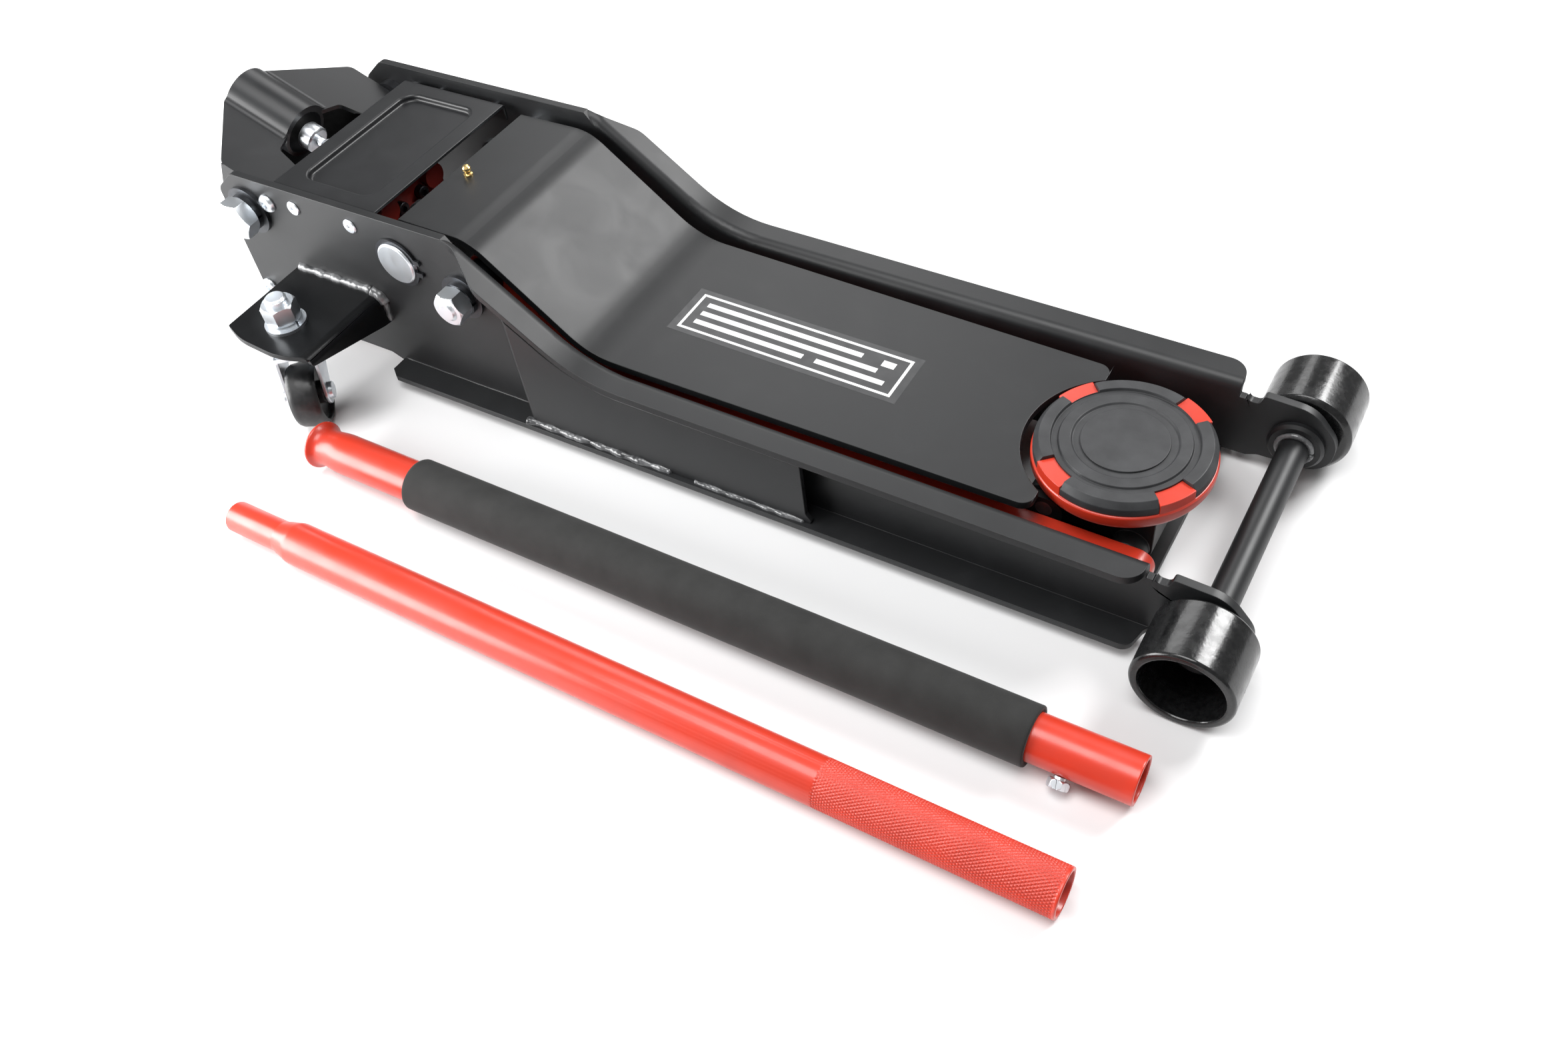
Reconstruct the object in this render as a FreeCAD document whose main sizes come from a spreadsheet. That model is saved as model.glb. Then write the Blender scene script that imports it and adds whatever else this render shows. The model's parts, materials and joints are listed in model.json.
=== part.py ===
import FreeCAD, Part
import math
import os

# Long-reach hydraulic floor jack with its two-piece handle lying beside it.
#
# Jack frame, used while building: X runs forward from the lift-arm shaft to the
# saddle, Y = 0 is the centre plane between the side plates, Z = 0 is the floor.
# Every sub-part's Placement then moves it to the object's own origin, which is the
# middle of the whole footprint, on the floor.

V = FreeCAD.Vector
doc = FreeCAD.newDocument("floor_jack")

DIMENSIONS = [
    ("footprint_middle_x", 204.537, "jack-frame x of the footprint's middle"),
    ("footprint_middle_y", -58.1, "jack-frame y of the footprint's middle"),
    # Side plates
    ("plate_thickness", 6.0, "side plate sheet"),
    ("plate_inner", 83.0, "centre plane to a side plate's inner face"),
    ("plate_top", 155.5, "height of the tall rear part"),
    ("plate_rear", -183.0, "rear edge of the side plates"),
    ("lip_reach", 105.0, "centre plane to the lip of the top flange"),
    ("bend_radius", 8.0, "outer bend radius of the top flange"),
    ("foot_reach", 109.5, "centre plane to the edge of the bottom flange"),
    ("foot_thickness", 5.0, "bottom flange sheet"),
    ("foot_top", 14.0, "height of the bottom flange's upper face"),
    ("foot_rear", -38.0, "rear end of the bottom flange"),
    ("flange_front", 573.0, "front end of both flanges"),
    ("stiffener_thickness", 4.0, "channel stiffener sheet"),
    ("stiffener_rear", 108.0, "stiffener's rear bend"),
    ("stiffener_front", 343.0, "stiffener's front end"),
    ("cross_plate_thickness", 4.0, "front cross plate sheet"),
    ("cross_plate_depth", 97.0, "front cross plate along X"),
    # Front axle and wheels
    ("axle_front", 615.2, "x of the front axle"),
    ("axle_radius", 10.0, "front axle"),
    ("wheel_radius", 32.3, "front wheel, also the axle's height"),
    ("wheel_near", 92.4, "centre plane to a front wheel's inner face"),
    ("wheel_width", 47.4, "front wheel along the axle"),
    ("wheel_wall", 6.0, "front wheel's rim wall"),
    # Pivots
    ("shaft_height", 121.0, "height of the lift-arm shaft"),
    ("shaft_radius", 17.0, "lift-arm shaft"),
    ("link_pivot_ahead", 58.0, "link pivot ahead of the shaft"),
    ("link_pivot_drop", 13.0, "link pivot below the shaft"),
    ("arm_reach", 490.0, "shaft to the saddle bracket's pin, along X"),
    ("arm_drop", 82.0, "shaft to the saddle bracket's pin, downward"),
    ("yoke_pivot_back", -152.0, "x of the handle yoke's pivot"),
    ("yoke_pivot_height", 126.0, "height of the handle yoke's pivot"),
    ("yoke_tilt", 21.2, "resting slope of the yoke in degrees"),
    # Lift arm
    ("arm_thickness", 6.0, "lift arm sheet"),
    ("cheek_outer", 46.5, "centre plane to a lift arm cheek's outer face"),
    ("ram_pin_back", -20.0, "x of the ram pin"),
    ("ram_pin_height", 63.0, "height of the ram pin"),
    ("ram_pin_radius", 8.0, "ram pin"),
    # Links
    ("link_inner", 52.3, "centre plane to a radius link's inner face"),
    ("link_thickness", 10.0, "radius link bar"),
    # Saddle
    ("saddle_ahead", 524.6, "x of the saddle's centre"),
    ("saddle_top", 75.2, "top of the saddle pad with the jack down"),
    ("pad_radius", 58.3, "saddle pad"),
    ("cup_radius", 59.6, "saddle cup"),
    ("cup_foot", 52.3, "underside of the saddle cup"),
    ("cup_rim", 65.0, "face of the saddle cup that carries the pad"),
    # Tool tray
    ("tray_top", 149.0, "tool tray cover's upper face"),
    ("tray_rear", -128.0, "tool tray cover's rear edge"),
    ("tray_length", 104.0, "tool tray cover along X"),
    ("tray_half_width", 78.5, "tool tray cover's half width"),
    ("tray_thickness", 2.5, "tool tray sheet"),
    # Handle yoke
    ("cover_height", 10.2, "cover plate above the socket axis"),
    ("cover_thickness", 4.0, "yoke cover sheet"),
    ("socket_outer", 21.4, "handle socket tube, outside"),
    ("socket_bore", 18.4, "handle socket tube, bore"),
    ("socket_rear", 84.4, "yoke pivot to the socket's mouth"),
    ("socket_front", 24.5, "yoke pivot to the socket's inner end"),
    # Casters
    ("bracket_top", 79.0, "caster bracket's upper face"),
    ("bracket_sheet", 4.5, "caster bracket sheet"),
    ("caster_stem_x", -82.0, "x of the caster stems"),
    ("caster_stem_y", 146.0, "caster stem from the centre plane"),
    ("caster_radius", 25.5, "caster wheel"),
    ("caster_width", 23.0, "caster wheel along its axle"),
    ("caster_trail", 21.5, "caster stem to the wheel's axle"),
    ("caster_turn", 40.0, "resting swivel of the casters in degrees"),
    # Hydraulic unit
    ("ram_height", 63.0, "ram axis above the floor"),
    ("ram_radius", 14.0, "ram rod"),
    ("cylinder_outer", 29.0, "ram cylinder, outside"),
    ("cylinder_bore", 24.0, "ram cylinder, bore"),
    ("plunger_radius", 6.0, "pump plunger"),
    ("roller_radius", 8.0, "roller that works the pump plunger"),
    # Handle
    ("lower_handle_y", -197.0, "y of the lower handle half"),
    ("upper_handle_y", -278.0, "y of the upper handle half"),
    ("handle_radius", 15.5, "handle tube"),
    ("handle_wall", 2.5, "handle tube's wall"),
    ("sleeve_radius", 19.6, "foam sleeve"),
    ("spigot_radius", 11.5, "upper half's reduced end"),
    ("running_gap", 0.05, "radial clearance of a turning fit"),
]

sheet = doc.addObject("Spreadsheet::Sheet", "dimensions")
for row, (alias, value, meaning) in enumerate(DIMENSIONS, start=1):
    sheet.set("A%d" % row, meaning)
    sheet.set("B%d" % row, str(value))
    sheet.setAlias("B%d" % row, alias)
doc.recompute()


def mm(alias):
    """Value of a driving dimension."""
    return float(sheet.get(alias))


def bind(obj, **expressions):
    """Ties properties of an object to cells of the sheet."""
    for prop, expression in expressions.items():
        obj.setExpression(prop, expression)


NODES = {}
FOOTPRINT = V(mm("footprint_middle_x"), mm("footprint_middle_y"), 0)
UPRIGHT = FreeCAD.Rotation()
TO_PLUS_X = FreeCAD.Rotation(V(0, 0, 1), V(1, 0, 0))
TO_SIDE = {1: FreeCAD.Rotation(V(0, 0, 1), V(0, 1, 0)), -1: FreeCAD.Rotation(V(0, 0, 1), V(0, -1, 0))}
SIDES = {"left": 1, "right": -1}


def at(x, y, z, turn=UPRIGHT):
    """Placement in the jack frame."""
    return FreeCAD.Placement(V(x, y, z), turn)


def node(obj, label, where=FreeCAD.Placement()):
    """Names a finished sub-part and moves it from the jack frame to the object's origin."""
    obj.Label = label
    obj.Placement = FreeCAD.Placement(-FOOTPRINT, UPRIGHT).multiply(where)
    NODES[label] = obj
    return obj


def put(obj, where):
    """Places one member of a group or boolean."""
    obj.Placement = where
    return obj


# ---------------------------------------------------------------- outlines

def rounded(points):
    """Edges of a closed outline of (u, v) or (u, v, corner radius) points."""
    count = len(points)
    starts = []
    ends = []
    arcs = []
    for index in range(count):
        here = V(points[index][0], points[index][1], 0)
        radius = points[index][2] if len(points[index]) > 2 else 0
        back = V(*points[index - 1][:2], 0) - here
        ahead = V(*points[(index + 1) % count][:2], 0) - here
        turn = back.getAngle(ahead)
        if radius <= 0 or abs(turn - math.pi) < 1e-6:
            starts.append(here)
            ends.append(here)
            arcs.append(None)
            continue
        reach = radius / math.tan(turn / 2)
        back.normalize()
        ahead.normalize()
        first = here + back * reach
        last = here + ahead * reach
        inward = (back + ahead).normalize()
        middle = here + inward * (radius / math.sin(turn / 2) - radius)
        starts.append(first)
        ends.append(last)
        arcs.append(Part.Arc(first, middle, last))
    edges = []
    for index in range(count):
        if arcs[index]:
            edges.append(arcs[index])
        following = starts[(index + 1) % count]
        if (ends[index] - following).Length > 1e-6:
            edges.append(Part.LineSegment(ends[index], following))
    return edges


def open_path(points):
    """Edges of an open path with rounded corners."""
    return rounded(points)[:-1]


def circle(u, v, radius):
    return Part.Circle(V(u, v, 0), V(0, 0, 1), radius)


def lowered(points, depth):
    """The same open path moved down by a sheet's thickness, corners kept concentric."""
    moved = []
    count = len(points)
    for index, (u, v, radius) in enumerate(points):
        before = points[max(index - 1, 0)]
        after = points[min(index + 1, count - 1)]
        slope_in = math.atan2(v - before[1], u - before[0]) if index else None
        slope_out = math.atan2(after[1] - v, after[0] - u) if index < count - 1 else None
        slope_in = slope_out if slope_in is None else slope_in
        slope_out = slope_in if slope_out is None else slope_out
        mean = (slope_in + slope_out) / 2
        reach = depth / math.cos((slope_out - slope_in) / 2)
        bends_down = slope_out < slope_in
        new_radius = 0 if radius == 0 else radius - depth if bends_down else radius + depth
        moved.append((u + reach * math.sin(mean), v - reach * math.cos(mean), new_radius))
    return moved


# ---------------------------------------------------------------- features

def new_body(name):
    return doc.addObject("PartDesign::Body", name + "_body")


def sketch(body, role, edges, offset=0.0):
    """Sketch on one of the body's own origin planes, moved along its normal."""
    drawing = body.newObject("Sketcher::SketchObject", body.Name + "_sketch")
    plane = next(item for item in body.Origin.OriginFeatures if item.Role == role)
    drawing.AttachmentSupport = [(plane, "")]
    drawing.MapMode = "FlatFace"
    drawing.AttachmentOffset = FreeCAD.Placement(V(0, 0, offset), UPRIGHT)
    for edge in edges:
        drawing.addGeometry(edge, False)
    return drawing


def pad(body, role, edges, offset, length):
    """Pad from `offset` along the plane's normal; `length` is an expression in sheet cells."""
    feature = body.newObject("PartDesign::Pad", body.Name + "_pad")
    feature.Profile = sketch(body, role, edges, offset)
    bind(feature, Length=length)
    return feature


def slab(body, edges, y_high, length):
    """Pad of an X-Z outline whose high-Y face is at y_high."""
    return pad(body, "XZ_Plane", edges, -y_high, length)


def cut_through(body, role, edges, offset=0.0):
    """Pocket through the whole body, both ways from the sketch."""
    doc.recompute()
    before = body.Shape.Volume
    feature = body.newObject("PartDesign::Pocket", body.Name + "_pocket")
    feature.Profile = sketch(body, role, edges, offset)
    feature.Type = "ThroughAll"
    feature.Midplane = True
    doc.recompute()
    if not body.Shape.Volume < before - 0.1:
        raise RuntimeError("pocket cuts nothing: " + body.Name)
    return feature


def cut_blind(body, role, edges, offset, length, back=False):
    """Pocket of a stated depth, against the plane's normal unless `back`."""
    doc.recompute()
    before = body.Shape.Volume
    feature = body.newObject("PartDesign::Pocket", body.Name + "_pocket")
    feature.Profile = sketch(body, role, edges, offset)
    feature.Reversed = back
    bind(feature, Length=length)
    doc.recompute()
    if not body.Shape.Volume < before - 0.1:
        raise RuntimeError("pocket cuts nothing: " + body.Name)
    return feature


def round_edges(body, radius, chosen):
    """Fillet of the tip's edges for which chosen(edge) is true."""
    doc.recompute()
    base = body.Tip
    names = ["Edge%d" % (i + 1) for i, edge in enumerate(base.Shape.Edges) if chosen(edge)]
    feature = body.newObject("PartDesign::Fillet", body.Name + "_fillet")
    feature.Base = (base, names)
    feature.Radius = radius
    return feature


def turned(name, profile):
    """Piece turned about its own Z axis from a closed (radius, height) outline."""
    body = new_body(name)
    drawing = sketch(body, "XZ_Plane", rounded(profile))
    feature = body.newObject("PartDesign::Revolution", name + "_turning")
    feature.Profile = drawing
    feature.ReferenceAxis = (drawing, ["V_Axis"])
    feature.Angle = 360
    body.Tip = feature
    return body


def rod(name, radius, length):
    """Cylinder along Z; both sizes are expressions."""
    piece = doc.addObject("Part::Cylinder", name)
    bind(piece, Radius=radius, Height=length)
    return piece


def block(name, low, length, width, height):
    """Box from its low corner; the three sizes are expressions."""
    piece = doc.addObject("Part::Box", name)
    bind(piece, Length=length, Width=width, Height=height)
    piece.Placement.Base = V(*low)
    return piece


def minus(name, base, *tools):
    """Base with the tools cut away."""
    piece = doc.addObject("Part::Cut", name)
    piece.Base = base
    piece.Tool = tools[0] if len(tools) == 1 else plus(name + "_tools", *tools)
    return piece


def plus(name, *members):
    piece = doc.addObject("Part::MultiFuse", name)
    piece.Shapes = list(members)
    piece.Refine = True
    return piece


def group(name, members):
    """Identical fasteners that share one node, as separate solids."""
    piece = doc.addObject("Part::Compound", name)
    piece.Links = list(members)
    return piece


def ring(name, outer, bore, length):
    """Plain ring along Z; all three sizes are expressions."""
    return minus(name, rod(name + "_disc", outer, length), rod(name + "_hole", bore, length))


def hexagon(name, across_flats, height):
    """Hexagonal head or nut along Z with both rims chamfered."""
    prism = doc.addObject("Part::Prism", name + "_prism")
    prism.Polygon = 6
    prism.Circumradius = across_flats / math.sqrt(3)
    prism.Height = height
    outer = across_flats / math.sqrt(3)
    rim = turned(name + "_rim", [
        (0, 0), (across_flats / 2, 0), (outer, 1.4), (outer, height - 1.4),
        (across_flats / 2, height), (0, height)])
    piece = doc.addObject("Part::Common", name)
    piece.Base = prism
    piece.Tool = rim
    return piece


# ---------------------------------------------------------------- shared places

SHAFT = V(0, 0, mm("shaft_height"))
LINK_PIVOT = V(mm("link_pivot_ahead"), 0, mm("shaft_height") - mm("link_pivot_drop"))
BRACKET_PIN = V(mm("arm_reach"), 0, mm("shaft_height") - mm("arm_drop"))
LINK_FRONT_PIN = BRACKET_PIN + (LINK_PIVOT - SHAFT)
RAM_PIN = V(mm("ram_pin_back"), 0, mm("ram_pin_height"))
YOKE_PIVOT = V(mm("yoke_pivot_back"), 0, mm("yoke_pivot_height"))
AXLE = V(mm("axle_front"), 0, mm("wheel_radius"))
SADDLE = V(mm("saddle_ahead"), 0, 0)
PLATE_OUTER = mm("plate_inner") + mm("plate_thickness")
CHEEK_INNER = mm("cheek_outer") - mm("arm_thickness")
GAP = mm("running_gap")
TRAY_SCREW_X = (-98.0, -40.0)
TRAY_SCREW_Z = 141.0
TRAY_SCREW_RADIUS = 2.5
STOP_SCREW = V(-127, 0, 138)
SPACER = V(-174, 0, 44)
YOKE_BOLT_RADIUS = 9.0
LINK_BOLT_RADIUS = 8.0
AXLE_REACH = 116.0
CLIP_THICKNESS = 1.8
BRACKET_PIN_RADIUS = 6.0
LINK_PIN_RADIUS = 7.0
STUD_RADIUS = 11.0
SIDE_PLAY = 0.3
CHEEK_OF_YOKE = 75.0
STEM_RADIUS = 8.0
STEM_FLAT = 2.5
STEM_LOCK = 3.5
CASTER_CROWN = 58.0

# Crown of the side plates' top flange, from the flat rear part down to the front.
CROWN = [(40, mm("plate_top"), 0), (58, mm("plate_top"), 30), (163, 77.5, 108), (mm("flange_front"), 70.6, 0)]
# Upper face of the lift arm's top plate.
ARM_CROWN = [(-4, 147, 0), (62, 147, 39), (152, 73.5, 64), (490, 65, 0)]


# ---------------------------------------------------------------- frame

def side_plate(name, side):
    """Side plate: a tall rear web, an out-turned top flange that follows the crown,
    a bottom flange, and an ear that carries the front axle."""
    body = new_body(name)
    rear = mm("plate_rear")
    below_crown = lowered(CROWN, 12)
    foot_bottom = mm("foot_top") - mm("foot_thickness")
    ear = [(577, 66, 1), (579, 57.5, 3.5), (587, 57.5, 3.5), (589, 65, 2), (622, 63, 24), (641, 40, 20),
           (638, 12, 18), (592, 12, 8), (584, foot_bottom, 3)]
    web = [(mm("foot_rear") - 14, 15, 4), (rear, 15, 16), (rear + 2, 138, 10), (-160, mm("plate_top"), 10),
           (52, mm("plate_top"))]
    web += [(60, 146)] + below_crown[2:-1] + [(577, below_crown[-1][1])] + ear
    web += [(mm("foot_rear"), foot_bottom)]
    inner = mm("plate_inner")
    high = PLATE_OUTER if side > 0 else -inner
    slab(body, rounded(web), high, "dimensions.plate_thickness")
    # Top flange: the bent sheet's section swept along the crown.
    bend = mm("bend_radius")
    sheet_depth = mm("plate_thickness")
    top = mm("plate_top")
    section = [(inner, top - 20), (inner, top, bend), (mm("lip_reach"), top),
               (mm("lip_reach"), top - sheet_depth), (PLATE_OUTER, top - sheet_depth, bend - sheet_depth),
               (PLATE_OUTER, top - 20)]
    profile = sketch(body, "YZ_Plane", rounded([(side * u, v, *r) for u, v, *r in section]), CROWN[0][0])
    path = sketch(body, "XZ_Plane", open_path(CROWN))
    flange = body.newObject("PartDesign::AdditivePipe", name + "_flange")
    flange.Profile = profile
    flange.Spine = (path, ["Edge%d" % (i + 1) for i in range(len(path.Geometry))])
    flange.Mode = "Binormal"
    flange.Binormal = V(0, 1, 0)
    # Bottom flange with a bevelled rear corner and a rounded front one.
    front = mm("flange_front")
    back = mm("foot_rear")
    reach = mm("foot_reach")
    foot = [(back, inner), (back, reach - 6), (back + 8, reach), (front, reach, 8), (front + 4, PLATE_OUTER + 4),
            (front + 9, inner)]
    pad(body, "XY_Plane", rounded([(u, side * v, *r) for u, v, *r in foot]), foot_bottom,
        "dimensions.foot_thickness")
    # The top flange's lip flares out behind and is rounded in front.
    above_lip = mm("plate_top") + 25
    below_lip = 40
    depth = "%g" % (above_lip - below_lip)
    beyond = mm("lip_reach") + 5
    flare = [(30, PLATE_OUTER), (62, PLATE_OUTER, 20), (86, mm("lip_reach"), 14), (120, mm("lip_reach")),
             (120, beyond), (30, beyond)]
    cut_blind(body, "XY_Plane", rounded([(u, side * v, *r) for u, v, *r in flare]), above_lip, depth)
    corner = [(front - 16, mm("lip_reach")), (front, mm("lip_reach"), 14), (front, PLATE_OUTER + 1, 4),
              (front + 8, PLATE_OUTER), (front + 8, beyond), (front - 16, beyond)]
    cut_blind(body, "XY_Plane", rounded([(u, side * v, *r) for u, v, *r in corner]), above_lip, depth)
    holes = [(SHAFT, mm("shaft_radius")), (LINK_PIVOT, LINK_BOLT_RADIUS), (YOKE_PIVOT, YOKE_BOLT_RADIUS),
             (AXLE, mm("axle_radius")), (STOP_SCREW, 4), (SPACER, 4)]
    holes += [(V(x, 0, TRAY_SCREW_Z), TRAY_SCREW_RADIUS) for x in TRAY_SCREW_X]
    cut_through(body, "XZ_Plane", [circle(p.x, p.z, r) for p, r in holes])
    return node(body, name)


for hand, side in SIDES.items():
    side_plate(hand + "_side_plate", side)


def channel_stiffener(name, side):
    """Sheet that closes the channel between the two flanges, bent in to the web behind."""
    body = new_body(name)
    under_lip = lowered(CROWN, mm("plate_thickness"))
    rear = mm("stiffener_rear")
    front = mm("stiffener_front")
    floor = mm("foot_top")
    over = mm("plate_top") + 25
    line = [(rear - 14, floor), (rear - 14, over), (front, over), (front, floor + 8, 3), (front + 6, floor, 2)]
    outer = mm("lip_reach")
    slab(body, rounded(line), outer if side > 0 else -PLATE_OUTER, "dimensions.lip_reach - %g" % PLATE_OUTER)
    # Everything above the flange's underside goes.
    above = [(-60, over + 60), (-60, under_lip[0][1])] + under_lip[1:-1]
    above += [under_lip[-1][:2], (mm("flange_front") + 30, over + 60)]
    cut_through(body, "XZ_Plane", rounded(above))
    # Only the outer sheet and the slanted rear part stay.
    sheet_in = outer - mm("stiffener_thickness")
    waste = [(rear - 9, PLATE_OUTER - 1), (rear + 3, sheet_in, 3), (front + 30, sheet_in),
             (front + 30, PLATE_OUTER - 1)]
    cut_through(body, "XY_Plane", rounded([(u, side * v, *r) for u, v, *r in waste]))
    slant = [(rear - 20, PLATE_OUTER - 1), (rear - 14, PLATE_OUTER - 1), (rear - 2, outer, 5), (rear + 30, outer),
             (rear + 30, outer + 6), (rear - 20, outer + 6)]
    cut_through(body, "XY_Plane", rounded([(u, side * v, *r) for u, v, *r in slant]))
    return node(body, name)


for hand, side in SIDES.items():
    channel_stiffener(hand + "_channel_stiffener", side)


def front_cross_plate():
    """Flat plate low between the side plates, with an upturned rear lip between the links."""
    body = new_body("front_cross_plate")
    front = mm("flange_front") - 5
    rear = front - mm("cross_plate_depth")
    low = 7.0
    top = low + mm("cross_plate_thickness")
    slab(body, rounded([(front, low), (front, top), (rear, top), (rear, low)]), mm("plate_inner"),
         "2 * dimensions.plate_inner")
    lip = [(rear + 10, top), (rear + 4, top, 2), (rear + 4, top + 8), (rear, top + 8), (rear, low, 3),
           (rear + 10, low)]
    reach = mm("link_inner") - 2
    slab(body, rounded(lip), reach, "%g" % (2 * reach))
    return node(body, "front_cross_plate")


front_cross_plate()


def front_axle():
    """Axle rod with a welded collar against the inside of each side plate."""
    shaft = mm("axle_radius")
    collar = mm("plate_inner")
    end = AXLE_REACH
    groove = end - 5
    half = [(0, end), (shaft - 1, end), (shaft, end - 1), (shaft, groove + 2), (shaft - 1, groove + 2),
            (shaft - 1, groove), (shaft, groove), (shaft, collar), (19, collar), (19, collar - 3),
            (17, collar - 5), (shaft + 2, collar - 5), (shaft, collar - 7)]
    mirrored = [(u, -v) for u, v in reversed(half)]
    body = turned("front_axle", half + mirrored)
    return node(body, "front_axle", at(AXLE.x, 0, AXLE.z, TO_SIDE[1]))


front_axle()


def circlip(name, bore, outer, thickness):
    """Open external retaining ring with two lugs, about Z."""
    body = new_body(name)
    pad(body, "XY_Plane", [circle(0, 0, outer), circle(0, 0, bore)], 0, str(thickness))
    gap = bore * 0.22
    cut_through(body, "XY_Plane", rounded([(0, -gap), (outer + 4, -gap), (outer + 4, gap), (0, gap)]))
    for sign in (-1, 1):
        lug = [(bore + 0.3, sign * gap), (outer + 3, sign * gap), (outer + 3, sign * (gap + 4), 1.5),
               (bore + 0.3, sign * (gap + 4))]
        pad(body, "XY_Plane", rounded(lug), 0, str(thickness))
    return body


def both_sides(name, maker, place, distance):
    """Two copies of a fastener, one on each side, its Z axis pointing outward."""
    members = []
    for side in (1, -1):
        member = maker(name + ("_left" if side > 0 else "_right"))
        members.append(put(member, at(place.x, side * distance, place.z, TO_SIDE[side])))
    return members


node(group("front_wheel_clips", both_sides(
    "wheel_clip", lambda n: circlip(n, mm("axle_radius") - 1, mm("axle_radius") + 4, CLIP_THICKNESS), AXLE,
    AXLE_REACH - 4.9)), "front_wheel_clips")

node(turned("rear_spacer_bar", [
    (0, -mm("plate_inner")), (9, -mm("plate_inner")), (9, mm("plate_inner")), (0, mm("plate_inner"))]),
    "rear_spacer_bar", at(SPACER.x, 0, SPACER.z, TO_SIDE[1]))


def caster_bracket(name, side):
    """Welded bracket with a curved outer edge and a bent-down front flange."""
    body = new_body(name)
    top = mm("bracket_top")
    gauge = mm("bracket_sheet")
    rear = -125.0
    front = -36.0
    plan = [(rear, PLATE_OUTER), (rear + 1, 167, 2), (-104, 175, 60), (-62, 178, 60), (front - 2, 170, 2),
            (front, PLATE_OUTER)]
    pad(body, "XY_Plane", rounded([(u, side * v, *r) for u, v, *r in plan]), top - gauge,
        "dimensions.bracket_sheet")
    flange = [(PLATE_OUTER, top), (169, top), (169, top - 9, 3), (PLATE_OUTER + 8, top - 26, 10),
              (PLATE_OUTER, top - 27)]
    pad(body, "YZ_Plane", rounded([(side * u, v, *r) for u, v, *r in flange]), front - gauge,
        "dimensions.bracket_sheet")
    round_edges(body, 8, lambda e: abs(e.BoundBox.XMin - front) < 3.1 and e.BoundBox.XLength < 3
                and abs(e.BoundBox.ZMin - top) < 0.01 and e.BoundBox.ZLength < 0.01 and e.BoundBox.YLength > 60)
    cut_through(body, "XY_Plane", [circle(mm("caster_stem_x"), side * mm("caster_stem_y"), STEM_RADIUS)])
    return node(body, name)


for hand, side in SIDES.items():
    caster_bracket(hand + "_caster_bracket", side)


def caster_stem_bolts():
    """Threaded stems that hold the casters up to their brackets, each with its nut."""
    members = []
    top = mm("bracket_top") + STEM_FLAT + STEM_LOCK
    end = top + 19.5
    foot = CASTER_CROWN - 1
    for hand, side in SIDES.items():
        stem = turned("stem_" + hand, [(0, foot), (STEM_RADIUS - 1.5, foot), (STEM_RADIUS, foot + 1.5),
                                       (STEM_RADIUS, end - 1.5), (STEM_RADIUS - 1.5, end), (0, end)])
        spot = (mm("caster_stem_x"), side * mm("caster_stem_y"))
        nut = minus("stem_nut_" + hand, hexagon("stem_hex_" + hand, 24, 14),
                    rod("stem_nut_bore_" + hand, "%g" % STEM_RADIUS, "20"))
        members.append(put(stem, at(spot[0], spot[1], 0)))
        members.append(put(nut, at(spot[0], spot[1], top)))
    return node(group("caster_stem_bolts", members), "caster_stem_bolts")


caster_stem_bolts()


def tool_tray_cover():
    """Pressed sheet cover with a rounded rectangular recess and two side flanges."""
    body = new_body("tool_tray_cover")
    top = mm("tray_top")
    gauge = mm("tray_thickness")
    half = mm("tray_half_width")
    rear = mm("tray_rear")
    skirt = top - 14
    section = [(-half, skirt), (-half, top, 3), (half, top, 3), (half, skirt), (half - gauge, skirt),
               (half - gauge, top - gauge, 1), (gauge - half, top - gauge, 1), (gauge - half, skirt)]
    pad(body, "YZ_Plane", rounded(section), rear, "dimensions.tray_length")
    middle = rear + mm("tray_length") / 2
    border = 14
    span = mm("tray_length") / 2 - border
    width = half - border

    def pan(inset):
        """Outline of the recess, moved inward."""
        u = span - inset
        v = width - inset
        return rounded([(middle + a * u, b * v, border - inset) for a, b in ((-1, -1), (1, -1), (1, 1), (-1, 1))])

    depth = 5.0
    pad(body, "XY_Plane", pan(0), top - depth - gauge, "%g" % (depth + 0.1))
    cut_blind(body, "XY_Plane", pan(gauge), top, str(depth))

    def at_recess(edge):
        low = edge.BoundBox.ZMin
        middle_of_edge = edge.CenterOfMass
        inside = abs(middle_of_edge.y) < width and abs(middle_of_edge.x - middle) < span
        return edge.BoundBox.ZLength < 0.01 and ((abs(low - top) < 0.01 and inside) or abs(low - top + depth) < 0.01)

    round_edges(body, 2.2, at_recess)
    cut_through(body, "XZ_Plane", [circle(x, TRAY_SCREW_Z, TRAY_SCREW_RADIUS) for x in TRAY_SCREW_X])
    return node(body, "tool_tray_cover")


tool_tray_cover()


def screw(name, head, shank, length):
    """Screw along Z: head above Z = 0 turned from `head`, plain shank below."""
    outline = [(0, -length), (shank - 0.5, -length), (shank, -length + 0.5), (shank, 0)] + head
    return turned(name, outline)


BUTTON_HEAD = [(7.5, 0), (7.5, 1.2), (6.2, 3.2), (4.2, 4.2), (2.4, 4.3), (2.4, 2.0), (0, 2.0)]
FLUSH_HEAD = [(6, 0), (6, 0.7), (5.2, 1.5), (1.8, 1.7), (1.8, 0.6), (0, 0.6)]


def screws_at(name, spots, head, shank, length):
    members = []
    for index, (x, z) in enumerate(spots):
        members += both_sides("%s_%d" % (name, index), lambda n: screw(n, head, shank, length), V(x, 0, z),
                              PLATE_OUTER)
    return node(group(name, members), name)


screws_at("frame_screws", [(STOP_SCREW.x, STOP_SCREW.z)], BUTTON_HEAD, 4.0, 10.0)
screws_at("spacer_screws", [(SPACER.x, SPACER.z)], BUTTON_HEAD, 4.0, 6.0)
screws_at("tray_screws", [(x, TRAY_SCREW_Z) for x in TRAY_SCREW_X], FLUSH_HEAD, TRAY_SCREW_RADIUS, 14.0)


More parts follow.
